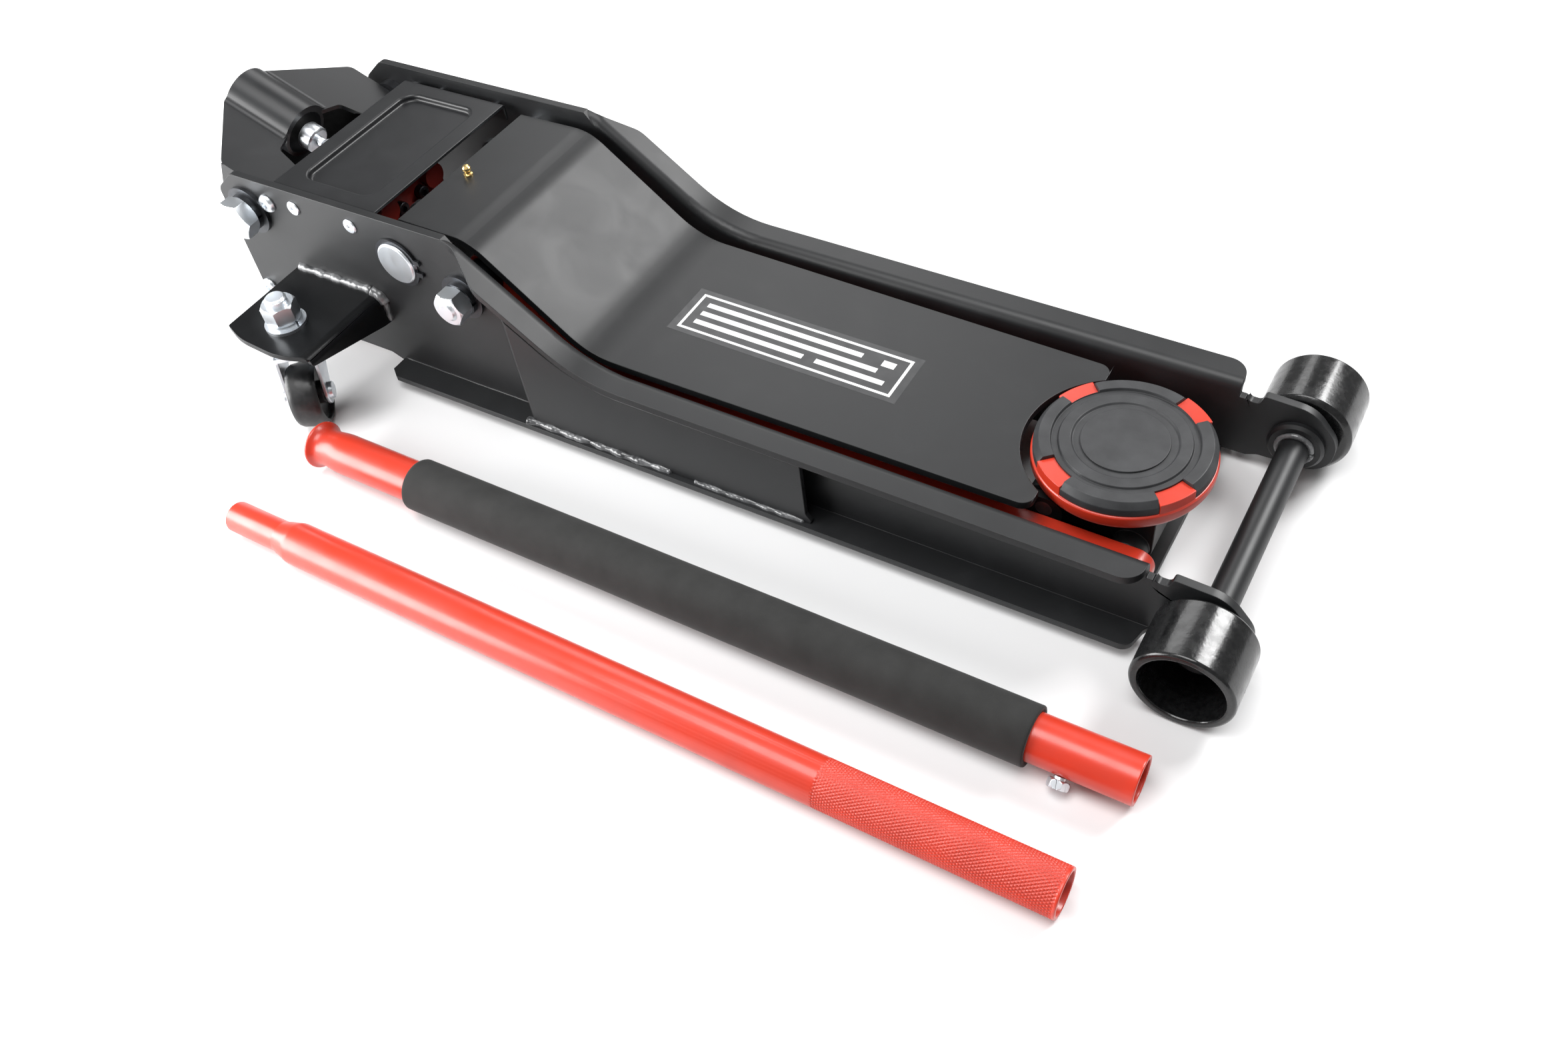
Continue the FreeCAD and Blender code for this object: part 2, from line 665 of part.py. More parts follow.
def lift_arm_shaft():
    """Shaft that the lift arm turns on, with a groove for a circlip at each end."""
    radius = mm("shaft_radius")
    end = PLATE_OUTER + 4.5
    groove = PLATE_OUTER + 0.4
    half = [(0, end), (radius - 1.2, end), (radius, end - 1.2), (radius, groove + 2), (radius - 1.5, groove + 2),
            (radius - 1.5, groove), (radius, groove)]
    body = turned("lift_arm_shaft", half + [(u, -v) for u, v in reversed(half)])
    return node(body, "lift_arm_shaft", at(SHAFT.x, 0, SHAFT.z, TO_SIDE[1]))


lift_arm_shaft()
node(group("shaft_circlips", both_sides(
    "shaft_circlip", lambda n: circlip(n, mm("shaft_radius") - 1.5, mm("shaft_radius") + 3, CLIP_THICKNESS), SHAFT,
    PLATE_OUTER + 0.5)), "shaft_circlips")


def washer(name, outer, bore, thickness):
    return ring(name, str(outer), str(bore), str(thickness))


def spring_washer(name, outer, bore, thickness):
    """Split lock washer."""
    split = block(name + "_split", (bore - 1, -0.8, -1), str(outer - bore + 3), "1.6", str(thickness + 2))
    return minus(name, washer(name + "_ring", outer, bore, thickness), split)


def link_pivot_bolts():
    """Shouldered bolts that carry the radius links: thin inner head, nut outside."""
    members = []
    inner = mm("link_inner")
    radius = LINK_BOLT_RADIUS
    for hand, side in SIDES.items():
        bolt = turned("link_bolt_" + hand, [
            (0, inner - 4.5), (12.5, inner - 4.5), (13, inner - 4), (13, inner - 0.2), (radius, inner - 0.2),
            (radius, 109), (radius - 1.5, 110.5), (0, 110.5)])
        nut = minus("link_nut_" + hand, hexagon("link_hex_" + hand, 24, 13),
                    rod("link_nut_bore_" + hand, "%g" % LINK_BOLT_RADIUS, "20"))
        members.append(put(bolt, at(LINK_PIVOT.x, 0, LINK_PIVOT.z, TO_SIDE[side])))
        members.append(put(nut, at(LINK_PIVOT.x, side * (PLATE_OUTER + 6.5), LINK_PIVOT.z, TO_SIDE[side])))
    return node(group("link_pivot_bolts", members), "link_pivot_bolts")


link_pivot_bolts()


def pivot_washers():
    """Flat, lock and spacing washers of the link, yoke and caster fastenings."""
    members = []
    link_out = mm("link_inner") + mm("link_thickness") + SIDE_PLAY
    yoke_out = CHEEK_OF_YOKE + SIDE_PLAY
    stack = [
        ("link_flat", washer, 18, LINK_BOLT_RADIUS, 3, LINK_PIVOT, PLATE_OUTER),
        ("link_lock", spring_washer, 13.5, LINK_BOLT_RADIUS, 3.5, LINK_PIVOT, PLATE_OUTER + 3),
        ("link_spacer", washer, 14, LINK_BOLT_RADIUS, mm("plate_inner") - link_out, LINK_PIVOT, link_out),
        ("yoke_flat", washer, 20, YOKE_BOLT_RADIUS, 3, YOKE_PIVOT, PLATE_OUTER),
        ("yoke_lock", spring_washer, 15, YOKE_BOLT_RADIUS, 4, YOKE_PIVOT, PLATE_OUTER + 3),
        ("yoke_spacer", washer, 15, YOKE_BOLT_RADIUS, mm("plate_inner") - yoke_out, YOKE_PIVOT, yoke_out)]
    for name, maker, outer, bore, thickness, place, distance in stack:
        members += both_sides(name, lambda n: maker(n, outer, bore, thickness), place, distance)
    for hand, side in SIDES.items():
        spot = (mm("caster_stem_x"), side * mm("caster_stem_y"))
        flat = washer("stem_flat_" + hand, 16, STEM_RADIUS, STEM_FLAT)
        lock = spring_washer("stem_lock_" + hand, 13.5, STEM_RADIUS, STEM_LOCK)
        members.append(put(flat, at(spot[0], spot[1], mm("bracket_top"))))
        members.append(put(lock, at(spot[0], spot[1], mm("bracket_top") + STEM_FLAT)))
    return node(group("pivot_washers", members), "pivot_washers")


pivot_washers()


def yoke_pivot_bolt(name):
    """Hexagon-headed bolt, measured along Z from the side plate's outer face outward."""
    under_head = 7
    shank = turned(name + "_shank", [(0, -22), (YOKE_BOLT_RADIUS - 1, -22), (YOKE_BOLT_RADIUS, -21),
                                     (YOKE_BOLT_RADIUS, under_head), (0, under_head)])
    head = put(hexagon(name + "_head", 29, 12), at(0, 0, under_head))
    return plus(name, shank, head)


node(group("yoke_pivot_bolts", both_sides("yoke_bolt", yoke_pivot_bolt, YOKE_PIVOT, PLATE_OUTER)),
     "yoke_pivot_bolts")


# ---------------------------------------------------------------- hydraulic unit

BLOCK_REAR = -118.0
BLOCK_FRONT = -78.0
BLOCK_STEP = 6.0
BLOCK_HALF_WIDTH = 40.0
TUBE_REAR = -116.0
TUBE_FRONT = -48.0
PUMP_HEIGHT = YOKE_PIVOT.z - 15.7
BARREL_RADIUS = 11.5
BARREL_REAR = -122.0
BARREL_FRONT = -100.0
PLUNGER_LENGTH = 40.0
SPINDLE_RADIUS = 3.5
SPINDLE_REAR = YOKE_PIVOT.x + 10
SPINDLE_LENGTH = 39.0
FILLER = V(-98, -26, 117)
FILLER_SHANK = 8.0
BLOCK_SCREW_Y = (-12.0, 12.0)
BLOCK_SCREW_Z = 96.0
BLOCK_SCREW_LENGTH = 12.0


def power_unit_block():
    """Cast block on two trunnion beams, bored for the ram cylinder, the pump barrel
    and the release valve, with two rounded shoulders in front."""
    body = new_body("power_unit_block")
    step_rear = BLOCK_REAR - BLOCK_STEP
    side_view = [(step_rear, 29, 6), (BLOCK_FRONT, 29, 3), (BLOCK_FRONT, 117, 8), (BLOCK_REAR, 117, 8),
                 (BLOCK_REAR, 96, 4), (step_rear, 90, 4)]
    slab(body, rounded(side_view), BLOCK_HALF_WIDTH, "%g" % (2 * BLOCK_HALF_WIDTH))
    trunnion = [(-110, 33, 4), (-92, 33, 4), (-92, 51, 4), (-110, 51, 4)]
    slab(body, rounded(trunnion), mm("plate_inner"), "2 * dimensions.plate_inner")
    valve_boss = [(-11, 110), (11, 110), (11, 128, 10.5), (11, 137, 10.5), (-11, 137, 10.5), (-11, 128, 0)]
    pad(body, "YZ_Plane", rounded(valve_boss), -112, "26")
    for side in (1, -1):
        pad(body, "YZ_Plane", [circle(side * 27, 103, 10)], BLOCK_FRONT - 10, "17")

    def bore(radius, height, rear, front):
        cut_blind(body, "YZ_Plane", [circle(0, height, radius)], rear, "%g" % (front - rear), back=True)

    bore(mm("cylinder_outer"), mm("ram_height"), TUBE_REAR, TUBE_FRONT)
    bore(BARREL_RADIUS, PUMP_HEIGHT, step_rear - 1, BARREL_FRONT)
    bore(mm("plunger_radius") + GAP, PUMP_HEIGHT, step_rear - 1, BLOCK_FRONT - 3)
    bore(SPINDLE_RADIUS + GAP, YOKE_PIVOT.z, step_rear - 1, SPINDLE_REAR + SPINDLE_LENGTH + 2)
    cut_blind(body, "XY_Plane", [circle(FILLER.x, FILLER.y, 4)], FILLER.z, "%g" % FILLER_SHANK)
    cut_blind(body, "YZ_Plane", [circle(y, BLOCK_SCREW_Z, 3) for y in BLOCK_SCREW_Y], BLOCK_FRONT,
              "%g" % BLOCK_SCREW_LENGTH)
    return node(body, "power_unit_block")


power_unit_block()


def along_x(obj, label, x, z, y=0.0):
    """Finished piece whose own Z axis points forward along X."""
    return node(obj, label, at(x, y, z, TO_PLUS_X))


along_x(ring("cylinder_tube", "dimensions.cylinder_outer", "dimensions.cylinder_bore", str(TUBE_FRONT - TUBE_REAR)),
        "ram_cylinder", TUBE_REAR, mm("ram_height"))


def cylinder_gland_nut():
    """Cap nut on the cylinder's open end; the rod runs through it."""
    outer = mm("cylinder_outer") + 4
    tube = mm("cylinder_outer")
    rod_bore = mm("ram_radius") + GAP
    return turned("gland", [(tube, 0), (outer - 1, 0), (outer, 1), (outer, 14), (outer - 2, 16), (rod_bore, 16),
                            (rod_bore, GLAND_GRIP), (tube, GLAND_GRIP)])


GLAND_GRIP = 12.0
along_x(cylinder_gland_nut(), "cylinder_gland_nut", TUBE_FRONT - GLAND_GRIP, mm("ram_height"))
along_x(ring("barrel", str(BARREL_RADIUS), "dimensions.plunger_radius + dimensions.running_gap",
             str(BARREL_FRONT - BARREL_REAR)), "pump_barrel", BARREL_REAR, PUMP_HEIGHT)
node(turned("filler", [(0, -FILLER_SHANK), (4, -FILLER_SHANK), (4, 0), (9, 0), (9, 3), (7.5, 4.5), (3, 4.5), (3, 2),
                       (0, 2)]), "oil_filler_plug", at(*FILLER))


def block_screw(name):
    """Socket cap screw along Z, head above Z = 0."""
    end = -BLOCK_SCREW_LENGTH
    return turned(name, [(0, end), (3, end), (3, 0), (5.5, 0), (5.5, 5.5), (5, 6), (2.6, 6), (2.6, 3), (0, 3)])


node(group("block_screws", [put(block_screw("block_screw_%d" % i), at(BLOCK_FRONT, y, BLOCK_SCREW_Z, TO_PLUS_X))
                            for i, y in enumerate(BLOCK_SCREW_Y)]), "block_screws")


COIL_END_GAP = 0.4


def coil(name, radius, wire, length, turns):
    """Helical spring along Z."""
    lift = wire / 2 + COIL_END_GAP
    rise = length - 2 * lift
    path = Part.makeHelix(rise / turns, rise, radius)
    path.translate(V(0, 0, lift))
    section = Part.Wire(Part.Circle(V(radius, 0, lift), V(0, 1, 0), wire / 2).toShape())
    piece = doc.addObject("Part::Feature", name)
    piece.Shape = Part.Wire(path.Edges).makePipeShell([section], True, True)
    return piece


CROSSHEAD_REAR = RAM_PIN.x - 22
SPRING_Y = (-33, 33)
SPRING_HEIGHT = 38
node(group("return_springs", [put(coil("return_spring_%d" % i, 6, 1.6, CROSSHEAD_REAR - BLOCK_FRONT, 9),
                                  at(BLOCK_FRONT, y, SPRING_HEIGHT, TO_PLUS_X)) for i, y in enumerate(SPRING_Y)]),
     "return_springs")


# ---------------------------------------------------------------- ram and pump

PISTON_REAR = TUBE_REAR + 0.3
PISTON_LENGTH = 12.0
RAM_REACH = CROSSHEAD_REAR - PISTON_REAR
SEALED = mm("cylinder_bore") - GAP
along_x(turned("ram", [(0, PISTON_LENGTH), (mm("ram_radius"), PISTON_LENGTH), (mm("ram_radius"), RAM_REACH),
                       (0, RAM_REACH)]), "ram_rod", PISTON_REAR, mm("ram_height"))
along_x(turned("piston", [(0, 0), (SEALED - 1, 0), (SEALED, 1), (SEALED, 4), (SEALED - 2, 4), (SEALED - 2, 8),
                          (SEALED, 8), (SEALED, PISTON_LENGTH), (0, PISTON_LENGTH)]),
        "ram_piston", PISTON_REAR, mm("ram_height"))


def ram_crosshead():
    """Beam on the ram's end with a tall slot that pushes the lift arm's pin."""
    body = new_body("ram_crosshead")
    pin = mm("ram_pin_radius")
    line = [(CROSSHEAD_REAR, 30, 4), (RAM_PIN.x + 18, 36, 6), (RAM_PIN.x + 18, 87, 6), (CROSSHEAD_REAR, 87, 4)]
    half = CHEEK_INNER - 0.5
    slab(body, rounded(line), half, "%g" % (2 * half))
    slot_half = pin + 2.4
    slot = [(RAM_PIN.x - slot_half, 50, 5), (RAM_PIN.x + slot_half, 50, 5), (RAM_PIN.x + slot_half, 82, 5),
            (RAM_PIN.x - slot_half, 82, 5)]
    cut_through(body, "XZ_Plane", rounded(slot))
    return node(body, "ram_crosshead")


ram_crosshead()
ROLLER = V(YOKE_PIVOT.x + 8.73, 0, YOKE_PIVOT.z - 15.74)
PLUNGER_REAR = ROLLER.x + mm("roller_radius") + 0.5
PLUNGER_HEAD = 4.0
along_x(turned("plunger", [(0, 0), (7, 0), (8, 1), (8, PLUNGER_HEAD), (mm("plunger_radius"), PLUNGER_HEAD),
                           (mm("plunger_radius"), PLUNGER_LENGTH), (0, PLUNGER_LENGTH)]),
        "pump_plunger", PLUNGER_REAR, PUMP_HEIGHT)
SPRING_SEAT = PLUNGER_REAR + PLUNGER_HEAD
along_x(coil("plunger_coil", 7.1, 1.4, BARREL_REAR - SPRING_SEAT, 4), "plunger_spring", SPRING_SEAT, PUMP_HEIGHT)
along_x(turned("spindle", [(0, 0), (2.5, 0), (SPINDLE_RADIUS, 1), (SPINDLE_RADIUS, SPINDLE_LENGTH - 1),
                           (2.5, SPINDLE_LENGTH), (0, SPINDLE_LENGTH)]),
        "release_valve_spindle", SPINDLE_REAR, YOKE_PIVOT.z)


# ---------------------------------------------------------------- lift arm

def lift_arm_top_plate():
    """Long S-bent plate, slightly narrower in front, cut out round the saddle."""
    body = new_body("lift_arm_top_plate")
    under = lowered(ARM_CROWN, mm("arm_thickness"))
    blank = 80
    slab(body, rounded(ARM_CROWN + list(reversed(under))), blank, "%g" % (2 * blank))
    rear = ARM_CROWN[0][0]
    front = ARM_CROWN[-1][0]
    keep = 66.0
    half = 64.0
    rise = math.sqrt(keep ** 2 - half ** 2)
    ahead = SADDLE.x + 20
    hollow = Part.Arc(V(SADDLE.x - rise, half, 0), V(SADDLE.x - keep, 0, 0), V(SADDLE.x - rise, -half, 0))
    cut_through(body, "XY_Plane", [hollow, Part.LineSegment(V(SADDLE.x - rise, -half, 0), V(ahead, -half, 0)),
                                   Part.LineSegment(V(ahead, -half, 0), V(ahead, half, 0)),
                                   Part.LineSegment(V(ahead, half, 0), V(SADDLE.x - rise, half, 0))])
    for side in (1, -1):
        edge = [(rear - 2, 73.5), (60, 74.5, 200), (150, 75.5, 400), (front, 70.5, 9), (front, 56), (front + 40, 56),
                (front + 40, 100), (rear - 2, 100)]
        cut_through(body, "XY_Plane", rounded([(u, side * v, *r) for u, v, *r in edge]))
    return node(body, "lift_arm_top_plate")


lift_arm_top_plate()


def lift_arm_cheek(name, side):
    """Side of the lift arm: turns on the shaft, reaches down to the ram pin behind
    and to the saddle bracket's pin in front."""
    body = new_body(name)
    under = lowered(ARM_CROWN, mm("arm_thickness"))
    line = [(-4, under[0][1])] + under[1:-1]
    line += [(468, under[-1][1] + 0.53), (470, 48.5, 2), (503, 48.5, 11), (503, 26.5, 11), (470, 24, 30),
             (175, 27, 60), (92, 66, 30), (30, 72, 20), (-2, 46, 10), (-34, 46, 13), (-36, 72, 14), (-25, 108, 12),
             (-23, 140, 15)]
    high = mm("cheek_outer") if side > 0 else mm("arm_thickness") - mm("cheek_outer")
    slab(body, rounded(line), high, "dimensions.arm_thickness")
    cut_through(body, "XZ_Plane", [circle(SHAFT.x, SHAFT.z, mm("shaft_radius") + GAP)])
    cut_through(body, "XZ_Plane", [circle(RAM_PIN.x, RAM_PIN.z, mm("ram_pin_radius"))])
    cut_through(body, "XZ_Plane", [circle(BRACKET_PIN.x, BRACKET_PIN.z, BRACKET_PIN_RADIUS)])
    return node(body, name)


for hand, side in SIDES.items():
    lift_arm_cheek("lift_arm_%s_cheek" % hand, side)


def cross_pin(label, radius, reach, place):
    """Plain pin along the Y axis, from -reach to reach."""
    return node(rod(label + "_rod", "%g" % radius, "%g" % (2 * reach)), label, at(place.x, -reach, place.z, TO_SIDE[1]))


node(ring("pivot_tube", "dimensions.shaft_radius + 3", "dimensions.shaft_radius + dimensions.running_gap",
          "2 * (dimensions.cheek_outer - dimensions.arm_thickness)"),
     "lift_arm_pivot_tube", at(SHAFT.x, -CHEEK_INNER, SHAFT.z, TO_SIDE[1]))
cross_pin("lift_arm_ram_pin", mm("ram_pin_radius"), mm("cheek_outer"), RAM_PIN)
node(turned("nipple", [(0, 0), (3.5, 0), (3.5, 1.5), (2.2, 2.2), (2.2, 3.6), (3.4, 5), (3.2, 6.8), (2, 8.2), (0, 8.4)]),
     "grease_nipple", at(10, -9, 147))


# ---------------------------------------------------------------- radius links

def radius_link(name, side):
    """Cranked bar that stays parallel to the lift arm and keeps the saddle level."""
    body = new_body(name)
    line = [(41, 124, 16), (74, 124, 16), (104, 80, 25), (160, 46, 60), (552, 39, 12), (568.5, 39, 12),
            (568.5, 13, 12), (535, 13, 12), (188, 20.5, 40), (146, 28, 40), (76, 84, 25), (41, 90, 16)]
    inner = mm("link_inner")
    high = inner + mm("link_thickness") if side > 0 else -inner
    slab(body, rounded(line), high, "dimensions.link_thickness")
    outer = inner + mm("link_thickness")
    round_edges(body, 1.5, lambda e: abs(abs(e.CenterOfMass.y) - outer) < 0.01 and e.BoundBox.YLength < 0.01)
    cut_through(body, "XZ_Plane", [circle(LINK_PIVOT.x, LINK_PIVOT.z, LINK_BOLT_RADIUS + GAP)])
    cut_through(body, "XZ_Plane", [circle(LINK_FRONT_PIN.x, LINK_FRONT_PIN.z, LINK_PIN_RADIUS + GAP)])
    return node(body, name)


for hand, side in SIDES.items():
    radius_link(hand + "_radius_link", side)


# ---------------------------------------------------------------- saddle

def saddle_bracket():
    """Casting that hangs on the arm's front pin and is kept level by the links."""
    body = new_body("saddle_bracket")
    seat = mm("cup_foot") - 0.3
    half = CHEEK_INNER - 0.5
    side_view = [(477, 27, 10), (477, seat, 8), (562, seat, 4), (562, 13.8, 12), (536, 13.8, 10), (515, 27, 12)]
    slab(body, rounded(side_view), half, "%g" % (2 * half))
    boss = mm("link_inner") - 0.6
    slab(body, [circle(LINK_FRONT_PIN.x, LINK_FRONT_PIN.z, 12)], boss, "%g" % (2 * boss))
    cut_through(body, "XZ_Plane", [circle(BRACKET_PIN.x, BRACKET_PIN.z, BRACKET_PIN_RADIUS + GAP)])
    cut_through(body, "XZ_Plane", [circle(LINK_FRONT_PIN.x, LINK_FRONT_PIN.z, LINK_PIN_RADIUS)])
    cut_through(body, "XY_Plane", [circle(SADDLE.x, 0, STUD_RADIUS + GAP)])
    return node(body, "saddle_bracket")


saddle_bracket()
cross_pin("saddle_bracket_pin", BRACKET_PIN_RADIUS, mm("cheek_outer"), BRACKET_PIN)
cross_pin("link_front_pin", LINK_PIN_RADIUS, mm("link_inner") + mm("link_thickness") + 1.5, LINK_FRONT_PIN)


LUG_ANGLES = (55.0, 145.0, 235.0, 325.0)
LUG_HALF_ANGLE = 13.0
LUG_INNER = 47.0
LUG_SUNK = 2.6


def sector(inner, outer, middle, half):
    """Outline of a ring sector about the sketch's origin; angles in degrees."""
    def spot(radius, angle):
        return V(radius * math.cos(math.radians(angle)), radius * math.sin(math.radians(angle)), 0)

    low = middle - half
    high = middle + half
    return [Part.Arc(spot(outer, low), spot(outer, middle), spot(outer, high)),
            Part.LineSegment(spot(outer, high), spot(inner, high)),
            Part.Arc(spot(inner, high), spot(inner, middle), spot(inner, low)),
            Part.LineSegment(spot(inner, low), spot(outer, low))]


def saddle_cup():
    """Round cup with a stud below and four lugs that stand up through the pad."""
    radius = mm("cup_radius")
    foot = mm("cup_foot")
    rim = mm("cup_rim")
    body = turned("cup", [(0, 24), (STUD_RADIUS - 1, 24), (STUD_RADIUS, 25), (STUD_RADIUS, foot), (radius - 6, foot),
                          (radius - 1.5, foot + 2.5), (radius, foot + 6), (radius, rim - 1), (radius - 1, rim), (0, rim)])
    lug_height = mm("saddle_top") - LUG_SUNK - rim
    for angle in LUG_ANGLES:
        pad(body, "XY_Plane", sector(LUG_INNER, radius - 1, angle, LUG_HALF_ANGLE), rim, "%g" % lug_height)
    return node(body, "saddle_cup", at(SADDLE.x, 0, 0))


def saddle_pad():
    """Rubber pad with concentric grooves, a centre recess and four notches for the lugs."""
    radius = mm("pad_radius")
    top = mm("saddle_top")
    groove = top - 2.4
    base = mm("cup_rim")
    inner_ring = top - 0.6
    recess = top - 2.2
    body = turned("pad", [(0, base), (radius, base), (radius, top - 4.5), (radius - 3.5, top), (radius * 0.81, top),
                          (radius * 0.80, groove), (radius * 0.73, groove), (radius * 0.72, inner_ring),
                          (radius * 0.59, inner_ring), (radius * 0.57, recess), (0, recess)])
    doc.recompute()
    for angle in LUG_ANGLES:
        cut_blind(body, "XY_Plane", sector(LUG_INNER, radius + 3, angle, LUG_HALF_ANGLE), top, "%g" % (top - base + 2))
    return node(body, "saddle_pad", at(SADDLE.x, 0, 0))


saddle_cup()
saddle_pad()


# ---------------------------------------------------------------- handle yoke

YOKE = at(YOKE_PIVOT.x, 0, YOKE_PIVOT.z, FreeCAD.Rotation(V(0, 1, 0), mm("yoke_tilt")))


def yoke_cover():
    """Sheet box round the handle socket: flat slopes with a half-round ridge, a cut-out
    in front for the release coupling, a cheek down each side to the pivot and a
    closing sheet underneath."""
    body = new_body("yoke_cover")
    top = mm("cover_height")
    gauge = mm("cover_thickness")
    rear = -mm("socket_rear")
    front = -mm("socket_front")
    side = CHEEK_OF_YOKE
    plan = [(rear, -24, 5), (-41, -side, 9), (8, -side), (8, -41), (-19, -35, 5), (front, -20, 4), (front, 20, 4),
            (-19, 35, 5), (8, 41), (8, side), (-41, side, 9), (rear, 24, 5)]
    pad(body, "XY_Plane", rounded(plan), top - gauge, "dimensions.cover_thickness")
    ridge = mm("socket_outer") + 2.6
    half = math.sqrt(ridge ** 2 - (top - gauge) ** 2)
    crest = [Part.Arc(V(-half, top - gauge, 0), V(0, ridge, 0), V(half, top - gauge, 0)),
             Part.LineSegment(V(half, top - gauge, 0), V(-half, top - gauge, 0))]
    pad(body, "YZ_Plane", crest, rear, "dimensions.socket_rear - dimensions.socket_front")
    foot_of_ridge = math.sqrt(ridge ** 2 - top ** 2)
    round_edges(body, 7, lambda e: e.BoundBox.XLength > 50 and abs(e.CenterOfMass.z - top) < 0.05
                and abs(abs(e.CenterOfMass.y) - foot_of_ridge) < 1)
    cut_through(body, "YZ_Plane", [circle(0, 0, mm("socket_outer"))])
    cheek = [(-41, top - 1), (-43, -24, 10), (-34, -30, 8), (2, -30, 24), (27, -22, 12), (24, 4, 10), (8, top - 1)]
    for high in (side, gauge - side):
        slab(body, rounded(cheek), high, "dimensions.cover_thickness")
    under = [(-66, -34, 5), (-41, -side + 1, 9), (-14, -side + 1), (-14, side - 1), (-41, side - 1, 9), (-66, 34, 5)]
    pad(body, "XY_Plane", rounded(under), -mm("socket_outer") - 2 - gauge, "dimensions.cover_thickness")
    cut_through(body, "XZ_Plane", [circle(0, 0, YOKE_BOLT_RADIUS + GAP)])
    cut_through(body, "XZ_Plane", [circle(LOCAL_ROLLER.x, LOCAL_ROLLER.z, ROLLER_PIN_RADIUS)])
    return node(body, "yoke_cover", YOKE)


LOCAL_ROLLER = YOKE.inverse().multVec(ROLLER)
ROLLER_PIN_RADIUS = 5.0
ROLLER_HALF = 8.0
yoke_cover()
FORWARD_IN_YOKE = at(-mm("socket_rear"), 0, 0, TO_PLUS_X)
node(ring("socket", "dimensions.socket_outer", "dimensions.socket_bore",
          "dimensions.socket_rear - dimensions.socket_front"), "handle_socket_tube", YOKE.multiply(FORWARD_IN_YOKE))


def plunger_roller():
    """Roller on a pin that spans the yoke's cheeks."""
    pin = ROLLER_PIN_RADIUS
    tread = mm("roller_radius")
    return turned("roller", [(0, -CHEEK_OF_YOKE), (pin, -CHEEK_OF_YOKE), (pin, -ROLLER_HALF), (tread, -ROLLER_HALF),
                             (tread, ROLLER_HALF), (pin, ROLLER_HALF), (pin, CHEEK_OF_YOKE), (0, CHEEK_OF_YOKE)])


node(plunger_roller(), "plunger_roller", YOKE.multiply(at(LOCAL_ROLLER.x, 0, LOCAL_ROLLER.z, TO_SIDE[1])))


def release_coupling():
    """Ball at the pivot, a neck, then the round body that the handle's end turns."""
    rear = 1 - mm("socket_front")
    return turned("coupling", [(0, rear), (9.5, rear), (11, rear + 1.5), (11, -12.5), (9.5, -11), (4.5, -11),
                               (4.5, -5.36), (6.2, -3.2), (7, 0), (6.2, 3.2), (3.5, 6.06), (0, 7)])


node(release_coupling(), "release_coupling", YOKE.multiply(at(0, 0, 0, TO_PLUS_X)))


# ---------------------------------------------------------------- wheels

def front_wheel(name, side):
    """Cast cup-shaped wheel, open outward, with a hub boss inside."""
    radius = mm("wheel_radius")
    width = mm("wheel_width")
    bore = mm("axle_radius") + GAP
    inside = radius - mm("wheel_wall")
    body = turned(name + "_casting", [(bore, 0), (radius - 3, 0), (radius, 3), (radius, width - 1.5),
                                      (radius - 1.5, width), (inside + 1, width), (inside, width - 1),
                                      (inside - 1.5, 13), (inside - 5, 9), (17, 9), (15, 17), (bore, 17)])
    return node(body, name, at(AXLE.x, side * mm("wheel_near"), AXLE.z, TO_SIDE[side]))


for hand, side in SIDES.items():
    front_wheel(hand + "_front_wheel", side)


def caster_fork(name):
    """Swivel head with two raked legs and the wheel's axle bolt."""
    body = new_body(name)
    top = mm("bracket_top") - mm("bracket_sheet")
    crown = CASTER_CROWN
    radius = mm("caster_radius")
    trail = mm("caster_trail")
    pad(body, "XY_Plane", [circle(0, 0, 20), circle(0, 0, STEM_RADIUS + GAP)], crown, "%g" % (top - crown - 0.3))
    inner = mm("caster_width") / 2 + 1.5
    gauge = 2.5
    outer = inner + gauge
    leg = [(-20, crown), (-20, crown + 4), (20, crown + 4), (20, crown, 6), (trail + 10, radius + 2, 8),
           (trail + 8, radius - 9.5, 7), (trail - 8, radius - 9.5, 7), (trail - 10, radius + 2, 8)]
    for high in (outer, -inner):
        slab(body, rounded(leg), high, "%g" % gauge)
    bridge = [(-20, crown), (20, crown), (20, crown + 4), (-20, crown + 4)]
    slab(body, rounded(bridge), outer, "%g" % (2 * outer))
    slab(body, [circle(trail, radius, 4)], outer, "%g" % (2 * outer))
    bolt_head = 3
    for high in (outer + bolt_head, -outer):
        slab(body, [circle(trail, radius, 6.5)], high, "%g" % bolt_head)
    cut_through(body, "XY_Plane", [circle(0, 0, STEM_RADIUS + GAP)])
    return body


def caster_frame(side):
    """The caster's own frame: +X along the trail, Y along the axle."""
    heading = FreeCAD.Rotation(V(0, 0, 1), mm("caster_turn") - 90)
    return at(mm("caster_stem_x"), side * mm("caster_stem_y"), 0, heading)


def caster_wheel(name):
    """Small wheel with a crowned tread and recessed sides, about Z."""
    radius = mm("caster_radius")
    half = mm("caster_width") / 2
    hub = 4 + GAP
    side_line = [(hub, half), (9, half), (9, half - 5), (radius - 4.5, half - 4), (radius - 4, half - 0.5),
                 (radius - 2.5, half), (radius - 0.8, half - 3)]
    return turned(name, side_line + [(radius, 2), (radius, -2)] + [(u, -v) for u, v in reversed(side_line)])


for hand, side in SIDES.items():
    node(caster_fork(hand + "_fork"), hand + "_caster_fork", caster_frame(side))
    node(caster_wheel(hand + "_roller"), hand + "_caster_wheel",
         caster_frame(side).multiply(at(mm("caster_trail"), 0, mm("caster_radius"), TO_SIDE[1])))


# ---------------------------------------------------------------- handle halves

LOWER_LENGTH = 640.0
UPPER_LENGTH = 638.0
SLEEVE_LENGTH = 477.0


